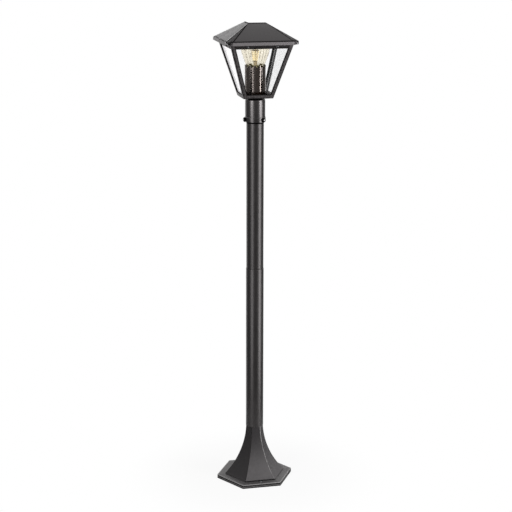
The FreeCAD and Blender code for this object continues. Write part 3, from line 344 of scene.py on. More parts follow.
def foot_marks(finish):
    """Painted light on the foot: paler towards the floor and on the right face, in cloudy patches; painted
    shade on the left face, along its ridge, in the groove at the faces' foot and on the flange's side; painted
    highlights on the right ridge and the flange's top edge.
    """
    up = finish.axis("Z") / MM
    east, north = (finish.axis(axis) / MM for axis in ("X", "Y"))
    patch = finish.grain(9.0, 3.0)
    ledge = FLANGE_BASE + FLANGE_THICK
    left, right = (east * (side * math.cos(HEXAGON_TURN)) - north * 0.5 for side in (-1, 1))
    flare = finish.ease(up, ledge + 0.5, ledge + 1.5, 0.0, 1.0)
    # Painted shade on the left face.
    painted_left_shade = finish.ease(left + north, -0.6, 0.6, 0.0, 0.9) * flare
    sunny = finish.ease(right + north, -0.3, 0.3, 1.0, 1.35)
    # Painted light: paler towards the floor and on the right face, in cloudy patches.
    painted_foot_light = finish.ease(up, 105.0, 8.0, 0.0, 0.75) * (0.6 + 0.6 * patch) * (1 - painted_left_shade) * sunny
    # Painted shade along the ridge between the left and front faces.
    ridge = finish.band(left + north, -0.2, 1.2, 0.3) * flare
    # Painted highlight along the ridge between the right and front faces.
    painted_ridge_highlight = finish.band(right + north, -1.0, 0.3, 0.3) * flare * finish.ease(
        finish.grain(2.6, 2.0) + up * 0.002, 0.45, 0.75, 0.1, 1.0)
    rim = left.or_more(right).or_more(finish.size_of(north)).or_more(0 - left).or_more(0 - right)
    border = finish.ease(rim, FLANGE_FLAT - 3.0, FLANGE_FLAT - 1.0, 0.0, 1.0)
    # Painted highlight along the flange's top edge.
    lip = border * finish.ease(up, ledge - 1.5, ledge - 1.1, 0.0, 1.0)
    in_front = finish.ease(0 - north - left.or_more(right), -0.5, 0.5, 0.12, 1.0)
    # Painted shade in the groove at the faces' foot, strongest in front.
    groove = finish.band(up, ledge + 0.2, ledge + 2.2, 0.3) * in_front
    # Painted shade on the flange's side.
    edge = border * finish.ease(up, ledge - 1.4, ledge - 1.8, 0.0, 0.7)
    return (
        (painted_foot_light, (0.085, 0.081, 0.083), 0.5),
        (painted_ridge_highlight.or_more(lip * 0.9), (0.26, 0.255, 0.255), 0.45),
        (groove.or_more(ridge * 0.6).or_more(edge).or_more(painted_left_shade * 0.4), SHADOW, 0.9),
    )


def plate_marks(finish):
    """The plate's edge: a painted highlight along its top, painted shade towards the ground."""
    up = finish.axis("Z") / MM
    return (
        (finish.ease(up, 1.6, 2.8, 0.0, 0.8), (0.11, 0.106, 0.108), 0.45),
        (finish.ease(up, 2.6, 1.4, 0.0, 0.8), SHADOW, 0.9),
    )


def collar_marks(finish):
    """The boss under the lantern is painted black, as painted shadow in its gap."""
    up = finish.axis("Z") / MM
    shoulder = FRAME_BASE - NECK_RISE
    return ((finish.ease(up, shoulder + 0.1, shoulder + 0.5, 0.0, 1.0), SHADOW, 1.0),)


def tube_marks(finish):
    """Painted shadow: a dark line where the tube runs into the collar."""
    up = finish.axis("Z") / MM
    painted_shade_line = finish.ease(up, COLLAR_BASE - 3.4, COLLAR_BASE - 2.6, 0.0, 1.0)
    return ((painted_shade_line, SHADOW, 1.0),)


def clear_glass(finish, tint, gloss, haze=None):
    """Thin glass: light goes straight through, with a mirror on top and a pale haze where asked."""
    edge_on = finish.add("ShaderNodeLayerWeight", {}, {"Blend": 0.35}, output="Facing")
    through = finish.add("ShaderNodeBsdfTransparent", {}, {"Color": finish.colour(tint)})
    mirror = finish.add("ShaderNodeBsdfGlossy", {}, {"Color": (1, 1, 1, 1), "Roughness": 0.03})
    relief = finish.shader.inputs["Normal"]
    if relief.is_linked:
        finish.tree.links.new(relief.links[0].from_socket, mirror.socket.node.inputs["Normal"])
    if haze:
        through = finish.add("ShaderNodeMixShader", {}, {
            0: haze, 1: through, 2: Value(finish, finish.shader.outputs[0])})
    surface = finish.add("ShaderNodeMixShader", {}, {0: 0.012 + gloss * edge_on ** 3, 1: through, 2: mirror})
    finish.tree.links.new(surface.socket, finish.tree.nodes["Material Output"].inputs["Surface"])
    return finish.material


def window_glass(name):
    """Pane with hammered faces: clear when looked at squarely; looked at along, it glows pale and speckled by
    emission, a painted reflection.
    """
    finish = Finish(name, (0.8, 0.8, 0.8), 0.5, Emission_Strength=0.6)
    ripple = finish.grain(5.0, 1.0)
    pits = finish.grain(2.0, 2.0, 0.6)
    finish.set("Normal", finish.relief(ripple * 0.8 + pits * 0.2, 0.02))
    edge_on = finish.add("ShaderNodeLayerWeight", {}, {"Blend": 0.5}, output="Facing")
    grazing = finish.ease(edge_on, 0.77, 0.83, 0.0, 1.0)
    fleck = finish.ease(finish.grain(2.2, 2.0), 0.44, 0.56, 0.0, 1.0)
    tone = finish.blend(grazing, finish.blend(fleck, (0.08, 0.08, 0.085), (0.4, 0.4, 0.4)),
                        finish.blend(fleck, (0.62, 0.60, 0.62), (1.0, 1.0, 1.0)))
    finish.set("Base Color", tone)
    # Painted reflection: the pane's tone glows by emission, pale where looked at along, grey specks elsewhere.
    finish.set("Emission Color", tone)
    speck = finish.ease(pits, 0.47, 0.55, 0.0, 1.0)
    haze = speck * finish.ease(edge_on, 0.5, 0.7, 0.0, 0.2) * (1 - grazing) + grazing * 0.72
    return clear_glass(finish, (0.993, 0.993, 0.994), 0.04, haze)


def blown_glass(name):
    """Thin warm glass of the bulb, streaked along its meridians and darker where seen edge-on."""
    finish = Finish(name, (0.42, 0.33, 0.22), 0.3)
    finish.set("Normal", finish.relief(finish.grain(14.0, 1.0), 0.03))
    neck = finish.band(finish.axis("Z") / MM - BULB_TIP, 36.0, 44.0, 2.5)
    finish.set("Base Color", finish.blend(neck, (0.40, 0.29, 0.19), (0.46, 0.46, 0.20)))
    outward = finish.add("ShaderNodeMapping", {}, {"Vector": finish.place(), "Scale": (1, 1, 0)})
    heading = finish.add("ShaderNodeVectorMath", {"operation": "NORMALIZE"}, {0: outward})
    streak = finish.add("ShaderNodeTexNoise", {}, {"Vector": heading, "Scale": 6.0, "Detail": 3.0})
    edge_on = finish.add("ShaderNodeLayerWeight", {}, {"Blend": 0.5}, output="Facing")
    cloudy = finish.ease(finish.grain(5.0, 2.0), 0.44, 0.56, 0.15, 1.0)
    haze = finish.ease(streak, 0.52, 0.58, 0.0, 0.3) * cloudy + neck * cloudy * 0.35 + finish.ease(
        edge_on, 0.72, 0.97, 0.0, 0.5)
    return clear_glass(finish, (0.995, 0.98, 0.935), 0.25, haze)


def stem_glass(name):
    """Glass of the stem, painted to glow cream between the rods by emission."""
    finish = Finish(name, (0.92, 0.80, 0.55), 0.4, Emission_Strength=0.35)
    cloud = finish.grain(4.0, 2.0)
    warm = finish.blend(cloud, (0.90, 0.76, 0.48), (0.98, 0.92, 0.74))
    finish.set("Base Color", warm)
    finish.set("Emission Color", warm)
    return clear_glass(finish, (0.99, 0.95, 0.82), 0.1, 0.25 + 0.3 * cloud)


def glossy_sleeve(name):
    """Dark brown moulded plastic, polished, with faint drawn lines down its length."""
    finish = Finish(name, (0.018, 0.011, 0.008), 0.1, Specular_IOR_Level=1.0, IOR=1.85,
                    Specular_Tint=(1.0, 0.88, 0.82, 1.0))
    lines = finish.grain(1.6, 2.0, stretch=(1, 1, 0.02))
    cloud = finish.grain(16.0, 2.0)
    side_patch = finish.ease(finish.axis("X") / MM, 1.0, -6.0, 0.0, 0.2)
    finish.set("Base Color", finish.blend(lines, (0.002, 0.001, 0.000), (0.018, 0.007, 0.003)))
    finish.set("Roughness", 0.03 + 0.02 * cloud + side_patch)
    finish.set("Normal", finish.relief(lines, 0.0015))
    return finish.material


def moulded_plastic(name, colour, roughness=0.5):
    finish = Finish(name, colour, roughness)
    pores = finish.grain(0.6, 2.0)
    cloud = finish.grain(12.0, 2.0)
    finish.set("Base Color", finish.blend(
        cloud, [c * 0.88 for c in colour], [min(1, c * 1.08) for c in colour]))
    finish.set("Roughness", roughness - 0.06 + 0.12 * cloud)
    finish.set("Normal", finish.relief(pores, 0.02))
    return finish.material


def plated_metal(name, colour, roughness=0.28, scratch=0.3):
    """Bare or plated metal with fine scratches and cloudy tarnish."""
    finish = Finish(name, colour, roughness, 1.0)
    cloud = finish.grain(5.0, 3.0)
    lines = finish.grain(scratch, 2.0, stretch=(1, 1, 0.15))
    finish.set("Base Color", finish.blend(cloud, [c * 0.82 for c in colour], colour))
    finish.set("Roughness", roughness - 0.08 + 0.16 * cloud + 0.06 * lines)
    finish.set("Normal", finish.relief(lines, 0.006))
    return finish.material


def soft_rubber(name):
    finish = Finish(name, (0.02, 0.02, 0.02), 0.75)
    finish.set("Roughness", 0.68 + 0.16 * finish.grain(2.0))
    finish.set("Normal", finish.relief(finish.grain(0.5, 1.0), 0.03))
    return finish.material


def coated_rod(name):
    """Warm coating of the filament rods, slightly grainy, with a painted glow by emission."""
    finish = Finish(name, (0.97, 0.86, 0.58), 0.55, Emission_Strength=0.5)
    grain = finish.grain(0.5, 2.0)
    warm = finish.blend(grain, (0.95, 0.80, 0.50), (1.0, 0.93, 0.72))
    finish.set("Base Color", warm)
    finish.set("Emission Color", warm)
    return finish.material


black_coat = powder_coat("black_powder_coat", (0.009, 0.008, 0.008), 0.34, 0.75)
tube_coat = powder_coat("black_coat_on_tube", (0.009, 0.008, 0.008), 0.34, 0.75, marks=tube_marks)
collar_coat = powder_coat("black_coat_on_collar", (0.007, 0.006, 0.006), 0.29, 1.0, marks=collar_marks)
cage_coat = powder_coat("black_coat_on_cage", (0.006, 0.005, 0.005), 0.42, 0.5, 1.3, 0.05, 0.1, cage_marks)
roof_coat = powder_coat("black_coat_on_roof", (0.020, 0.018, 0.019), 0.36, 0.6, 1.5, 0.06, 0.25, roof_marks)
plate_coat = powder_coat("black_coat_on_plate", (0.009, 0.008, 0.008), 0.4, 0.6, marks=plate_marks)
foot_coat = powder_coat("black_coat_on_foot", (0.014, 0.013, 0.014), 0.42, 0.6, 1.5, 0.06, 0.15, foot_marks)
sheet_coat = powder_coat("black_coat_on_sheet", (0.010, 0.009, 0.009), 0.45, 0.5, 0.9, 0.025)
pane_glass = window_glass("hammered_pane")
bulb_glass = blown_glass("blown_bulb_glass")
stem_cream = stem_glass("stem_glass")
sleeve_brown = glossy_sleeve("polished_brown_sleeve")
holder_plastic = moulded_plastic("lampholder_plastic", (0.045, 0.036, 0.032), 0.42)
terminal_plastic = moulded_plastic("terminal_plastic", (0.78, 0.77, 0.73), 0.45)
lead_sheath = moulded_plastic("lead_sheath", (0.03, 0.03, 0.03), 0.5)
black_vitrite = moulded_plastic("bulb_insulator_glass", (0.015, 0.015, 0.016), 0.15)
zinc = plated_metal("zinc_plate", (0.60, 0.61, 0.63), 0.34)
screw_steel = plated_metal("blackened_button_steel", (0.006, 0.006, 0.006), 0.45)
# Painted highlight: the pale plug in each set screw's socket stands in for its glint.
socket_glint_paint = moulded_plastic("painted_socket_glint", (0.88, 0.88, 0.88), 0.5)
dark_screw = plated_metal("blackened_screw", (0.13, 0.13, 0.135), 0.36)
cap_nickel = plated_metal("nickel_bulb_cap", (0.72, 0.70, 0.65), 0.25)
brass = plated_metal("lampholder_brass", (0.80, 0.60, 0.28), 0.3)
wire_steel = plated_metal("support_wire", (0.07, 0.045, 0.03), 0.45)
gasket_rubber = soft_rubber("black_rubber")
filament_coat = coated_rod("warm_filament_coat")

# ---------------------------------------------------------------- mesh building


def circle(radius, height, count=96, turn=0.0):
    """A level ring of points."""
    return [(radius * math.cos(turn + 2 * math.pi * k / count),
             radius * math.sin(turn + 2 * math.pi * k / count), height) for k in range(count)]


def polygon(sides, flat, height, rounding, per_corner=7, turn=0.0):
    """A level ring round a regular polygon, flat being its inner radius, with rounded corners."""
    rounding = min(rounding, flat * 0.9)
    half = math.pi / sides
    ring = []
    for side in range(sides):
        corner = turn + half + 2 * half * side
        reach = (flat - rounding) / math.cos(half)
        for step in range(per_corner):
            angle = corner - half + 2 * half * step / (per_corner - 1)
            ring.append((reach * math.cos(corner) + rounding * math.cos(angle),
                         reach * math.sin(corner) + rounding * math.sin(angle), height))
    return ring


def skin(rings, closed=False):
    """Points and faces of a skin over rings of equal count; its open ends are capped."""
    count = len(rings[0])
    points = [point for ring in rings for point in ring]
    faces = []
    for first in range(len(rings) if closed else len(rings) - 1):
        second = (first + 1) % len(rings)
        for k in range(count):
            after = (k + 1) % count
            faces.append((first * count + k, first * count + after,
                          second * count + after, second * count + k))
    if not closed:
        faces.append(tuple(range(count)))
        faces.append(tuple(range(len(points) - count, len(points))))
    return points, faces


def bow(start, finish, radius, steps):
    """Points of an arc, its start left out: a positive radius turns left on the way."""
    start, finish = Vector(start), Vector(finish)
    chord = finish - start
    middle = (start + finish) / 2
    left = Vector((-chord.y, chord.x)).normalized()
    reach = math.sqrt(max(radius * radius - chord.length_squared / 4, 0.0))
    centre = middle + left * (reach if radius > 0 else -reach)
    sweep = 2 * math.asin(min(1.0, chord.length / 2 / abs(radius))) * (1 if radius > 0 else -1)
    arm = start - centre
    return [tuple(centre + Matrix.Rotation(sweep * k / steps, 2) @ arm) for k in range(1, steps + 1)]


def softened(corners, radius, steps=4, closed=True):
    """A profile whose corners are rounded off, as far as the runs beside them allow."""
    profile = []
    last = len(corners) - 1
    for k, corner in enumerate(corners):
        here = Vector(corner)
        if not closed and k in (0, last):
            profile.append(tuple(here))
            continue
        before = Vector(corners[k - 1]) - here
        after = Vector(corners[(k + 1) % len(corners)]) - here
        opening = before.angle(after, math.pi)
        if opening > math.radians(168):
            profile.append(tuple(here))
            continue
        run = min(radius / math.tan(opening / 2), before.length * 0.45, after.length * 0.45)
        first = here + before.normalized() * run
        second = here + after.normalized() * run
        for step in range(steps + 1):
            t = step / steps
            profile.append(tuple(first * (1 - t) ** 2 + here * 2 * t * (1 - t) + second * t * t))
    return profile


def piece(name, shape, finish, body, nodes=(), crease=38, after=None):
    """A mesh as an object that rides on a body and stands for CAD nodes."""
    points, faces = shape
    mesh = bpy.data.meshes.new(name)
    mesh.from_pydata([Vector(point) * MM for point in points], [], faces)
    tidy_mesh(mesh)
    thing = bpy.data.objects.new(name, mesh)
    bpy.context.scene.collection.objects.link(thing)
    if after:
        after(thing)
    thing.data.materials.clear()
    thing.data.materials.append(finish)
    smooth(thing.data, crease)
    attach(thing, body)
    if nodes:
        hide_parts(*nodes)
    return thing


def tidy_mesh(mesh):
    work = bmesh.new()
    work.from_mesh(mesh)
    bmesh.ops.remove_doubles(work, verts=work.verts, dist=1e-6)
    bmesh.ops.recalc_face_normals(work, faces=work.faces)
    work.to_mesh(mesh)
    work.free()


def smooth(mesh, crease):
    mesh.shade_smooth()
    mesh.set_sharp_from_angle(angle=math.radians(crease))


def joined(*shapes):
    """Several shapes as one list of points and faces."""
    points, faces = [], []
    for more_points, more_faces in shapes:
        start = len(points)
        points.extend(more_points)
        faces.extend(tuple(start + k for k in face) for face in more_faces)
    return points, faces


def moved(shape, matrix):
    points, faces = shape
    return [tuple(matrix @ Vector(point)) for point in points], faces


def turned(profile, count=96, closed=True):
    return skin([circle(across, up, count) for across, up in profile], closed)


def bevelled(width, segments=3, angle=25):
    """Rounds the real edges of a piece by a bevel that becomes part of its mesh."""
    def work(thing):
        bevel = thing.modifiers.new("edge_round", "BEVEL")
        bevel.width = width * MM
        bevel.segments = segments
        bevel.limit_method = "ANGLE"
        bevel.angle_limit = math.radians(angle)
        bevel.miter_outer = "MITER_ARC"
        settle(thing)
    return work


def settle(thing):
    """Makes the result of a piece's modifiers its own mesh."""
    graph = bpy.context.evaluated_depsgraph_get()
    mesh = bpy.data.meshes.new_from_object(thing.evaluated_get(graph))
    thing.modifiers.clear()
    thing.data = mesh


def carved(cutters):
    """Cuts shapes out of a piece."""
    def work(thing):
        points, faces = joined(*cutters)
        mesh = bpy.data.meshes.new("cutter")
        mesh.from_pydata([Vector(point) * MM for point in points], [], faces)
        tidy_mesh(mesh)
        tool = bpy.data.objects.new("cutter", mesh)
        bpy.context.scene.collection.objects.link(tool)
        cut = thing.modifiers.new("cut", "BOOLEAN")
        cut.object = tool
        cut.solver = "EXACT"
        settle(thing)
        bpy.data.objects.remove(tool)
    return work


def facing(turn, dip=0.0, out=0.0, up=0.0, aside=0.0):
    """Lays an upright shape outward: turned from the front, dipped below level, set out and up."""
    around = Matrix.Rotation(math.radians(turn), 4, "Z")
    lay = Matrix.Rotation(math.radians(90) + dip, 4, "X")
    return Matrix.Translation((0, 0, up)) @ around @ Matrix.Translation((aside, -out, 0)) @ lay


# ---------------------------------------------------------------- foot


def flare_profile(inset, top):
    """The trumpet's hollow curve as (flat, height) points, from its foot up."""
    foot = FLANGE_BASE + FLANGE_THICK
    start = (FLARE_FLAT - inset, foot)
    finish = (high("lower_tube").x * math.sqrt(3) / 2 - inset, FOOT_TOP)
    curve = [start] + bow(start, finish, -FLARE_BOW, 40)
    return [point for point in curve if point[1] <= top]


def foot_casting():
    """Six hollow faces that run out of a flat flange, with the shadow groove at their foot."""
    foot = FLANGE_BASE + FLANGE_THICK
    wall, ceiling = FOOT_WALL, FOOT_TOP - CROWN_THICK
    flange = softened([
        (FLARE_FLAT - wall, FLANGE_BASE), (FLANGE_FLAT, FLANGE_BASE), (FLANGE_FLAT, foot),
        (FLARE_FLAT - GROOVE_DEPTH, foot), (FLARE_FLAT - GROOVE_DEPTH, foot + GROOVE_RISE),
    ], 0.55, 3, closed=False)
    curve = [point for point in flare_profile(0, FOOT_TOP) if point[1] > foot + GROOVE_RISE + 2]
    lip = flare_profile(0, FOOT_TOP)[0]
    outside = [(lip[0] - 0.35, foot + GROOVE_RISE), (lip[0] - 0.05, foot + GROOVE_RISE + 0.3)] + curve
    crown = [(curve[-1][0] - 0.3, FOOT_TOP), (0, FOOT_TOP)]
    inside = [(0, ceiling)] + list(reversed(flare_profile(wall, ceiling)))
    rings = [polygon(6, flat, up, 1.0, 7, HEXAGON_TURN) for flat, up in flange + outside + crown]
    rings += [polygon(6, flat, up, 0.6, 7, HEXAGON_TURN) for flat, up in inside]
    spigot = high("lower_tube").x - TUBE_WALL - 0.1
    bore, top = 6.75, FOOT_TOP + 28
    plug = turned(softened([(bore, FOOT_TOP), (spigot, FOOT_TOP), (spigot, top), (bore, top)], 0.5))
    return piece("foot_trumpet", joined(skin(rings, closed=True), plug), foot_coat, "post",
                 ["foot_casting"], crease=32)


def socket_screw(shank, length, head, rise, flats, seat=0.0):
    """Round-headed screw standing on its point's side of zero, with a hexagon socket."""
    side = head / 2
    count = 6 * 8
    profile = softened([
        (0, -length), (shank / 2 - 0.4, -length), (shank / 2, -length + 0.5), (shank / 2, seat),
        (side, seat), (side, seat + rise * 0.42), (side * 0.78, seat + rise * 0.86), (side * 0.5, seat + rise),
    ], 0.22, 3, closed=False)
    rings = [circle(across, up, count, math.pi / 6) for across, up in profile]
    flat = flats / 2
    top = seat + rise
    rings.append(polygon(6, flat + 0.25, top, 0.3, 8, math.pi / 6))
    rings.append(polygon(6, flat, top - 0.25, 0.15, 8, math.pi / 6))
    rings.append(polygon(6, flat, top - rise * 0.6, 0.15, 8, math.pi / 6))
    rings.append(circle(0, top - rise * 0.75, count, math.pi / 6))
    return skin(rings)


def foot_screws():
    level = FLANGE_BASE + FLANGE_THICK
    shapes = [moved(socket_screw(4.0, 7.9, 7.5, 2.2, 2.5), Matrix.Translation((0, place, level)))
              for place in (-62.5, 62.5)]
    return piece("flange_screws", joined(*shapes), dark_screw, "post", ["foot_screws"])


# ---------------------------------------------------------------- post


def tube(name, node, finish):
    """Round tube with turned-in ends."""
    side = high(node).x
    bottom, top = low(node).z, high(node).z
    profile = softened([
        (side - TUBE_WALL, bottom), (side, bottom), (side, top), (side - TUBE_WALL, top)], 0.55, 4)
    return piece(name, turned(profile, 128), finish, "post", [node])


def coupling():
    """Stepped coupling; only its rim shows, as the line between the tubes."""
    bottom, top = low("tube_coupling").z, high("tube_coupling").z
    joint = high("lower_tube").z
    below, above, rim, bore = 17.4, 16.8, 18.0, 12.8
    profile = softened([
        (bore, bottom), (below, bottom), (below, joint), (rim, joint), (rim, low("upper_tube").z),
        (above, low("upper_tube").z), (above, top), (bore, top)], 0.3, 2)
    return piece("post_coupling", turned(profile, 96), black_coat, "post", ["tube_coupling"])


def collar():
    """Banded cap on the post's end, with the boss that carries the lantern."""
    bore = high("upper_tube").x + 0.08
    band = 22.1
    top = FRAME_BASE - NECK_RISE
    inside = high("upper_tube").z + 0.2
    profile = softened([
        (bore, COLLAR_BASE), (band, COLLAR_BASE), (band, COLLAR_BASE + BAND_RISE),
        (COLLAR_SIDE, COLLAR_BASE + BAND_RISE + 0.4), (COLLAR_SIDE, top - 3.2), (COLLAR_SIDE - 0.65, top),
        (15.0, top), (15.0, FRAME_BASE),
        (NECK_BORE, FRAME_BASE), (NECK_BORE, inside), (bore, inside)], 0.85, 5)
    level = COLLAR_BASE + BAND_RISE / 2
    drill = skin([circle(2.58, 15, 32), circle(2.58, 30, 32)])
    holes = [moved(drill, facing(turn, up=level)) for turn in SET_SCREW_TURNS.values()]
    return piece("neck_cap", turned(profile, 128), collar_coat, "lantern", ["neck_collar"],
                 after=carved(holes))


def set_screws():
    """Three button-headed screws in the collar's band, with a pale plug in each socket as a painted glint."""
    for name, turn in SET_SCREW_TURNS.items():
        shape = socket_screw(5.0, 3.75, 10.0, 3.6, 3.0)
        lay = facing(turn, out=22.4, up=COLLAR_BASE + BAND_RISE / 2)
        piece(name + "_button", moved(shape, lay), screw_steel, name, [name])
        # Painted highlight: a pale plug in the socket stands in for its glint.
        plug = skin([polygon(6, 1.47, up, 0.15, 8, math.pi / 6) for up in (1.7, 3.3)] + [
            circle(0.5, 3.0, 48, math.pi / 6), circle(0.1, 2.6, 48, math.pi / 6)])
        piece(name + "_socket", moved(plug, lay), socket_glint_paint, name)


# ---------------------------------------------------------------- lantern


def wall_distance(up, inner=False):
    """How far a wall of the lantern stands from the axis, at a height over the frame's underside."""
    return FRAME_FOOT + SLOPE * up - (WALL_ACROSS if inner else 0)


def cage():
    """Leaning walls with four trapezoid windows, a floor, and the ridge that holds the glass."""
    rise = FRAME_TOP - FRAME_BASE
    sill, lintel = LOW_RAIL, rise - HIGH_RAIL
    shapes = []
    for turn in range(4):
        spin = Matrix.Rotation(math.radians(90 * turn), 4, "Z")
        points = []
        for inner in (False, True):
            low_up, high_up = (FRAME_FLOOR if inner else 0.0), rise
            for half, up in (
                    (wall_distance(low_up, inner), low_up), (wall_distance(high_up, inner), high_up),
                    (wall_distance(sill) - STRUT, sill), (wall_distance(lintel) - STRUT, lintel)):
                for side in (-1, 1):
                    points.append((side * half, -wall_distance(up, inner), up + FRAME_BASE))
        # Points 0-7 are the outer wall and 8-15 the inner one: foot, head, sill, lintel, left then right.
        faces = [(0, 1, 5, 4), (1, 3, 7, 5), (3, 2, 6, 7), (2, 0, 4, 6)]
        faces += [tuple(k + 8 for k in reversed(face)) for face in faces]
        faces += [(4, 5, 13, 12), (5, 7, 15, 13), (7, 6, 14, 15), (6, 4, 12, 14), (2, 3, 11, 10)]
        shapes.append(moved((points, faces), spin))
    under, floor = wall_distance(0), wall_distance(FRAME_FLOOR, True)
    count = 32
    plates = []
    for half, up in ((under, 0.0), (floor, FRAME_FLOOR)):
        square = polygon(4, half, FRAME_BASE + up, 0.0, 8)
        plates.append(polygon_to_hole(square, circle(NECK_BORE, FRAME_BASE + up, count)))
    bore = skin([circle(NECK_BORE, up, count) for up in (FRAME_BASE, FRAME_BASE + FRAME_FLOOR)])
    bore = (bore[0], bore[1][:-2])
    outer = wall_distance(FRAME_FLOOR + PANE_GAP, True) - (PANE_GAP + PANE_THICK) / math.cos(TILT) - PANE_GAP
    ridge = skin([polygon(4, half, FRAME_BASE + up, 0.3, 3) for half, up in (
        (outer, 3.0), (outer, 6.0), (outer - 2.0, 6.0), (outer - 2.0, 3.0))], closed=True)
    body = piece("lantern_cage", joined(*shapes, *plates, bore), cage_coat, "lantern",
                 ["lantern_frame"], after=bevelled(0.5, 3, 20))
    piece("glass_ridge", ridge, cage_coat, "lantern")
    return body


def polygon_to_hole(outline, hole):
    """A flat plate between an outline and a hole of as many points."""
    count = len(outline)
    first = min(range(count), key=lambda k: (Vector(hole[k]) - Vector(outline[0])).length)
    points = list(outline) + [hole[(first + k) % count] for k in range(count)]
    return points, [(k, (k + 1) % count, count + (k + 1) % count, count + k) for k in range(count)]


def pane(name, node, turn, narrower):
    """Leaning pane with gently rippled faces, flat along its edges."""
    foot_up, head_up = FRAME_FLOOR + PANE_GAP, FRAME_FLOOR + 103.9
    across = 1 / math.cos(TILT)
    face = FRAME_FOOT - WALL_ACROSS - PANE_GAP * across
    half_low = face + SLOPE * foot_up - PANE_GAP - narrower
    half_high = face + SLOPE * head_up - PANE_GAP - narrower
    length = (head_up - foot_up) * across
    columns, rows = 44, 56
    rings = []
    for row in range(rows + 1):
        v = length * row / rows
        half = half_low + (half_high - half_low) * row / rows
        line = []
        for depth, columns_here in ((0.0, range(columns + 1)), (PANE_THICK, range(columns, -1, -1))):
            for column in columns_here:
                u = half * (2 * column / columns - 1)
                edge = min(1.0, (half - abs(u)) / 6, v / 6, (length - v) / 6)
                wave = noise.noise(Vector((u / 9, v / 9, turn + depth * 7))) * 0.14 * max(0.0, edge)
                line.append((u, -v * math.sin(TILT) + (depth + wave) * math.cos(TILT),
                             v * math.cos(TILT) + (depth + wave) * math.sin(TILT)))
        rings.append(line)
    place = Matrix.Rotation(math.radians(turn), 4, "Z") @ Matrix.Translation(
        (0, -(face + SLOPE * foot_up), FRAME_BASE + foot_up))
    return piece(name, moved(skin(rings), place), pane_glass, "lantern", [node], crease=50)


def panes():
    side = PANE_THICK / math.cos(TILT)
    pane("front_pane", "glass_front", 0, 0)
    pane("rear_pane", "glass_rear", 180, 0)
    pane("right_pane", "glass_right", 90, side)
    pane("left_pane", "glass_left", 270, side)


# ---------------------------------------------------------------- lampholder and bulb


def sleeve():
    """Tall sleeve of the lampholder with square notches round its rim."""
    bottom, top = low("holder_sleeve").z, high("holder_sleeve").z
    bore = SLEEVE_SIDE - SLEEVE_WALL
    profile = softened([(bore, bottom), (SLEEVE_SIDE, bottom), (SLEEVE_SIDE, top), (bore, top)], 0.4, 4)
    cutters = []
    for k in range(NOTCHES):
        notch = skin([polygon(4, 2.8, up, 0.5, 4) for up in (18, 24)])
        lay = facing(360 / NOTCHES * k, up=top - 0.8)
        cutters.append(moved(notch, lay))
    return piece("brown_sleeve", turned(profile, 144), sleeve_brown, "lantern", ["holder_sleeve"],
                 after=carved(cutters))


def bulb_profile(inset):
    """The bulb's outline above its cap, moved in by inset."""
    tip = BULB_TIP
    cap_top = tip + 27.0
    points = [(12.6 - inset, cap_top - 5.25), (12.6 - inset, cap_top)]
    points += [(13.4 - inset, tip + 28.5)]
    throat = (19.8 - inset, tip + 43.0 + inset / 2)
    ball = 30.0 - inset
    centre = tip + BULB_WIDE_UP
    below = centre - throat[1]
    spread = throat[0] ** 2 + below ** 2
    run = math.sqrt(spread - ball ** 2)
    touch = (ball * (throat[0] * ball + below * run) / spread,
             centre - ball * (below * ball - throat[0] * run) / spread)
    points += bow((13.4 - inset, tip + 28.5), throat, -(40.0 + inset), 12)
    points += [touch] + bow(touch, (0, centre + ball), ball, 32)
    return points


def bulb_envelope():
    outside = bulb_profile(0)
    inside = bulb_profile(0.8)
    rings = [circle(across, up, 96) for across, up in outside + list(reversed(inside))]
    return piece("bulb_envelope", skin(rings, closed=True), bulb_glass, "bulb", ["bulb_glass"], crease=60)


def bulb_stem():
    """Flared and pinched stem with the thin rod that carries the filaments."""
    root, press = BULB_TIP + 21.75, BULB_TIP + BULB_PRESS_UP
    profile = softened([
        (0, root), (11.7, root), (11.7, root + 1), (5.0, root + 12), (3.2, press - 6),
        (4.0, press - 3), (4.0, press), (1.5, press), (1.5, press + 25), (0, press + 26)], 1.2, 5, closed=False)
    return piece("bulb_stem_glass", turned(profile, 48, closed=False), stem_cream, "bulb",
                 ["bulb_stem"], crease=60)


def rod_between(start, finish, radius, count=12):
    """A thin round rod with domed ends."""
    start, finish = Vector(start), Vector(finish)
    length = (finish - start).length
    profile = softened([(0, 0), (radius, 0), (radius, length), (0, length)], radius * 0.9, 3, closed=False)
    turn = (finish - start).to_track_quat("Z", "Y").to_matrix().to_4x4()
    return moved(turned(profile, count, closed=False), Matrix.Translation(start) @ turn)


def bulb_filaments():
    """Six warm rods that fan out from the low ring to the high ring."""
    bottom, top = low("bulb_filaments").z + 0.14, high("bulb_filaments").z - 0.14
    shapes = []
    for k in range(6):
        east, north = math.cos(k * math.pi / 3), math.sin(k * math.pi / 3)
        shapes.append(rod_between((LOW_RING * east, LOW_RING * north, bottom),
                                  (HIGH_RING * east, HIGH_RING * north, top), 0.9, 16))
    return piece("glowing_rods", joined(*shapes), filament_coat, "bulb", ["bulb_filaments"])


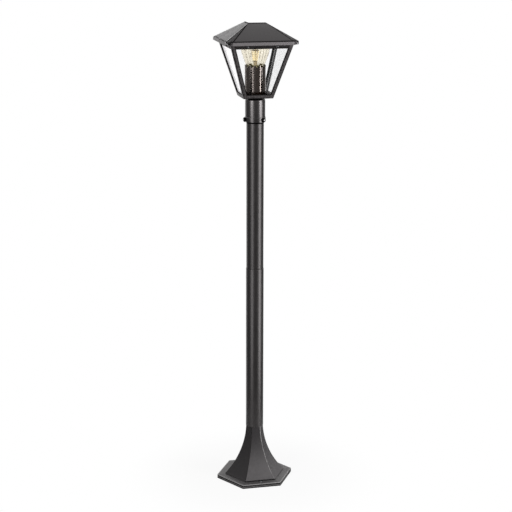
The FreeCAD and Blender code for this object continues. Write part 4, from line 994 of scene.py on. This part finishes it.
def filament_frame():
    """Two wire rings with spokes to the stem's rod."""
    shapes = []
    press = BULB_TIP + BULB_PRESS_UP
    for radius, up in ((LOW_RING, press + 0.45), (HIGH_RING, high("filament_rings").z - 0.45)):
        rings = []
        for k in range(48):
            angle = 2 * math.pi * k / 48
            out = Vector((math.cos(angle), math.sin(angle), 0))
            rings.append([tuple(out * (radius + 0.4 * math.cos(a)) + Vector((0, 0, up + 0.4 * math.sin(a))))
                          for a in (2 * math.pi * j / 8 for j in range(8))])
        shapes.append(skin(rings, closed=True))
        for k in range(6):
            east, north = math.cos(k * math.pi / 3), math.sin(k * math.pi / 3)
            shapes.append(rod_between((1.4 * east, 1.4 * north, up),
                                      (radius * east, radius * north, up), 0.28, 8))
    return piece("filament_frame", joined(*shapes), wire_steel, "bulb", ["filament_rings"])


# ---------------------------------------------------------------- roof


def roof_ring(side, cut, height):
    """A square ring with its corners cut."""
    short = side - cut
    return [(side, -short, height), (side, short, height), (short, side, height), (-short, side, height),
            (-side, short, height), (-side, -short, height), (-short, -side, height), (short, -side, height)]


def roof_cover():
    """Hipped roof with upright edges, bevelled corners and a small flat top, hollow underneath."""
    pitch = (ROOF_TOP - ROOF_BASE - FASCIA) / (EAVE - ROOF_FLAT)
    slant = math.sqrt(1 + pitch * pitch)
    inner = EAVE - ROOF_WALL
    spring = FASCIA - ROOF_WALL * slant + ROOF_WALL * pitch
    crown = ROOF_TOP - ROOF_BASE - ROOF_WALL
    crown_half = EAVE - (crown - FASCIA + ROOF_WALL * slant) / pitch
    cut = CORNER_CUT - ROOF_WALL * (2 - math.sqrt(2))
    rings = [
        roof_ring(crown_half, 0, ROOF_BASE + crown),
        roof_ring(inner, cut, ROOF_BASE + spring),
        roof_ring(inner, cut, ROOF_BASE),
        roof_ring(EAVE, CORNER_CUT, ROOF_BASE),
        roof_ring(EAVE, CORNER_CUT, ROOF_BASE + FASCIA),
        roof_ring(ROOF_FLAT, 0, ROOF_TOP),
    ]
    return piece("roof_cover", skin(rings), roof_coat, "roof", ["roof_shell"], after=bevelled(0.8, 3, 15))


def roof_screws():
    """Four small screws through the frame's high rail."""
    up = FRAME_TOP - FRAME_BASE - 3.2
    out = wall_distance(up)
    for name, turn, aside in (
            ("roof_screw_front_right", 0, 30.5), ("roof_screw_front_left", 0, -30.5),
            ("roof_screw_rear_right", 180, -30.5), ("roof_screw_rear_left", 180, 30.5)):
        shape = socket_screw(3.0, 7.4, 5.5, 1.8, 2.0, seat=0.3)
        piece(name + "_head", moved(shape, facing(turn, TILT, out, FRAME_BASE + up, aside)),
              dark_screw, name, [name])


# ---------------------------------------------------------------- carried solids

CARRIED = {
    "floor_plate": plate_coat, "cable_gland": gasket_rubber, "terminal_bracket": zinc, "bracket_screw": zinc,
    "terminal_block": terminal_plastic, "supply_lead": lead_sheath, "foot_washer": zinc, "foot_nut": zinc,
    "foot_rod": zinc, "post_plug": zinc, "neck_rod": zinc, "neck_nut": zinc, "holder_base": holder_plastic,
    "holder_body": holder_plastic, "holder_shell": brass, "holder_contact": brass, "bulb_contact": brass,
    "bulb_insulator": black_vitrite, "bulb_cap": cap_nickel, "roof_tray": sheet_coat,
    "roof_gasket": gasket_rubber, "tray_screws": dark_screw,
}


def dress_solids():
    """Gives each solid that stays its finish and smooth round faces."""
    for node, finish in CARRIED.items():
        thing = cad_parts[node]
        thing.data.materials.clear()
        thing.data.materials.append(finish)
        weld = thing.modifiers.new("weld", "WELD")
        weld.merge_threshold = 0.001 * MM
        rounding = thing.modifiers.new("edge_round", "BEVEL")
        rounding.width = 0.12 * MM
        rounding.segments = 2
        rounding.limit_method = "ANGLE"
        rounding.angle_limit = math.radians(40)


# ---------------------------------------------------------------- studio


ROOM_DARK = 0.15
BACKDROP = 1.3
CEILING = 1.05
EVEN_LIGHT = 0.2
FLOOR_REACH = 330.0


def camera():
    """Camera at the photograph's place, with its slight tilt."""
    data = bpy.data.cameras.new("camera")
    data.sensor_width = 36.0
    data.lens = 100.36
    data.clip_end = 50.0
    eye = bpy.data.objects.new("camera", data)
    bpy.context.scene.collection.objects.link(eye)
    turn, pitch, roll = (math.radians(a) for a in (-12.972, 14.282, 0.131))
    ahead = Vector((-math.sin(turn) * math.cos(pitch), math.cos(turn) * math.cos(pitch), -math.sin(pitch)))
    right = Vector((math.cos(turn), math.sin(turn), 0))
    up = right.cross(ahead)
    right, up = right * math.cos(roll) + up * math.sin(roll), up * math.cos(roll) - right * math.sin(roll)
    matrix = Matrix((right, up, -ahead)).transposed().to_4x4()
    matrix.translation = Vector((-0.66296, -2.88907, 1.25730))
    eye.matrix_world = matrix
    bpy.context.scene.camera = eye


def softbox(name, turn, distance, height, width, tall, glow):
    """A lamp panel that looks at the post, glowing so many times as bright as white."""
    data = bpy.data.lights.new(name, "AREA")
    data.shape = "RECTANGLE"
    data.size = width
    data.size_y = tall
    data.energy = glow * math.pi * width * tall
    lamp = bpy.data.objects.new(name, data)
    bpy.context.scene.collection.objects.link(lamp)
    angle = math.radians(turn)
    place = Vector((math.sin(angle) * distance, -math.cos(angle) * distance, height))
    lamp.location = place
    lamp.rotation_euler = (Vector((0, 0, height)) - place).to_track_quat("-Z", "Y").to_euler()
    lamp.visible_camera = False
    lamp.visible_transmission = False


def white_world():
    """White to the camera and through glass, white behind the lamp in reflections, and an even light."""
    world = bpy.data.worlds.new("white_studio")
    world.use_nodes = True
    bpy.context.scene.world = world
    room = Nodes(world.node_tree)
    room.tree.nodes.clear()
    seen = room.add("ShaderNodeLightPath", output="Is Camera Ray").or_more(
        room.add("ShaderNodeLightPath", output="Is Transmission Ray"))
    mirrored = room.add("ShaderNodeLightPath", output="Is Glossy Ray")
    heading = room.add("ShaderNodeTexCoord", output="Generated")
    behind, above = (room.add("ShaderNodeSeparateXYZ", {}, {0: heading}, output=axis) for axis in ("Y", "Z"))
    backdrop = room.ease(behind, 0.55, 0.9, ROOM_DARK, BACKDROP)
    ceiling = room.ease(above, -0.1, 0.9, ROOM_DARK, CEILING)
    level = EVEN_LIGHT * (1 - mirrored) + backdrop.or_more(ceiling) * mirrored
    strength = level * (1 - seen) + seen
    light = room.add("ShaderNodeBackground", {}, {"Color": (1, 1, 1, 1), "Strength": strength})
    out = room.tree.nodes.new("ShaderNodeOutputWorld")
    room.join(out.inputs["Surface"], light)


def pale_floor():
    """A round white floor that keeps the object's soft shadow."""
    mesh = bpy.data.meshes.new("studio_floor")
    rim = [Vector(point) * MM for point in circle(FLOOR_REACH, 0.0, 96)]
    mesh.from_pydata(rim, [], [tuple(range(len(rim)))])
    floor = bpy.data.objects.new("studio_floor", mesh)
    bpy.context.scene.collection.objects.link(floor)
    paper = Finish("studio_paper", (0.95, 0.95, 0.95), 0.95)
    rays = paper.add("ShaderNodeLightPath", output="Is Camera Ray")
    out = paper.add("ShaderNodeVectorMath", {"operation": "LENGTH"}, {0: paper.place()}, output="Value")
    glow = paper.add("ShaderNodeEmission", {}, {"Color": (1, 1, 1, 1), "Strength": 1.0})
    surface = paper.add("ShaderNodeMixShader", {}, {
        0: rays * paper.ease(out / MM, 100.0, FLOOR_REACH * 0.95, 0.92, 1.0),
        1: Value(paper, paper.shader.outputs[0]), 2: glow})
    paper.tree.links.new(surface.socket, paper.tree.nodes["Material Output"].inputs["Surface"])
    mesh.materials.append(paper.material)


foot_casting()
foot_screws()
tube("lower_post", "lower_tube", black_coat)
tube("upper_post", "upper_tube", tube_coat)
coupling()
collar()
set_screws()
cage()
panes()
sleeve()
bulb_envelope()
bulb_stem()
bulb_filaments()
filament_frame()
roof_cover()
roof_screws()
dress_solids()
camera()
white_world()
pale_floor()
softbox("right_panel", 55, 1.7, 0.45, 0.85, 1.8, 5.4)
softbox("left_panel", -48, 1.7, 0.45, 0.8, 1.8, 2.8)
softbox("bright_right_panel", 50, 1.6, 1.04, 0.5, 0.2, 17.0)
softbox("bright_left_panel", -52, 1.6, 1.08, 0.5, 0.2, 16.0)
bpy.context.scene.view_settings.view_transform = "Standard"
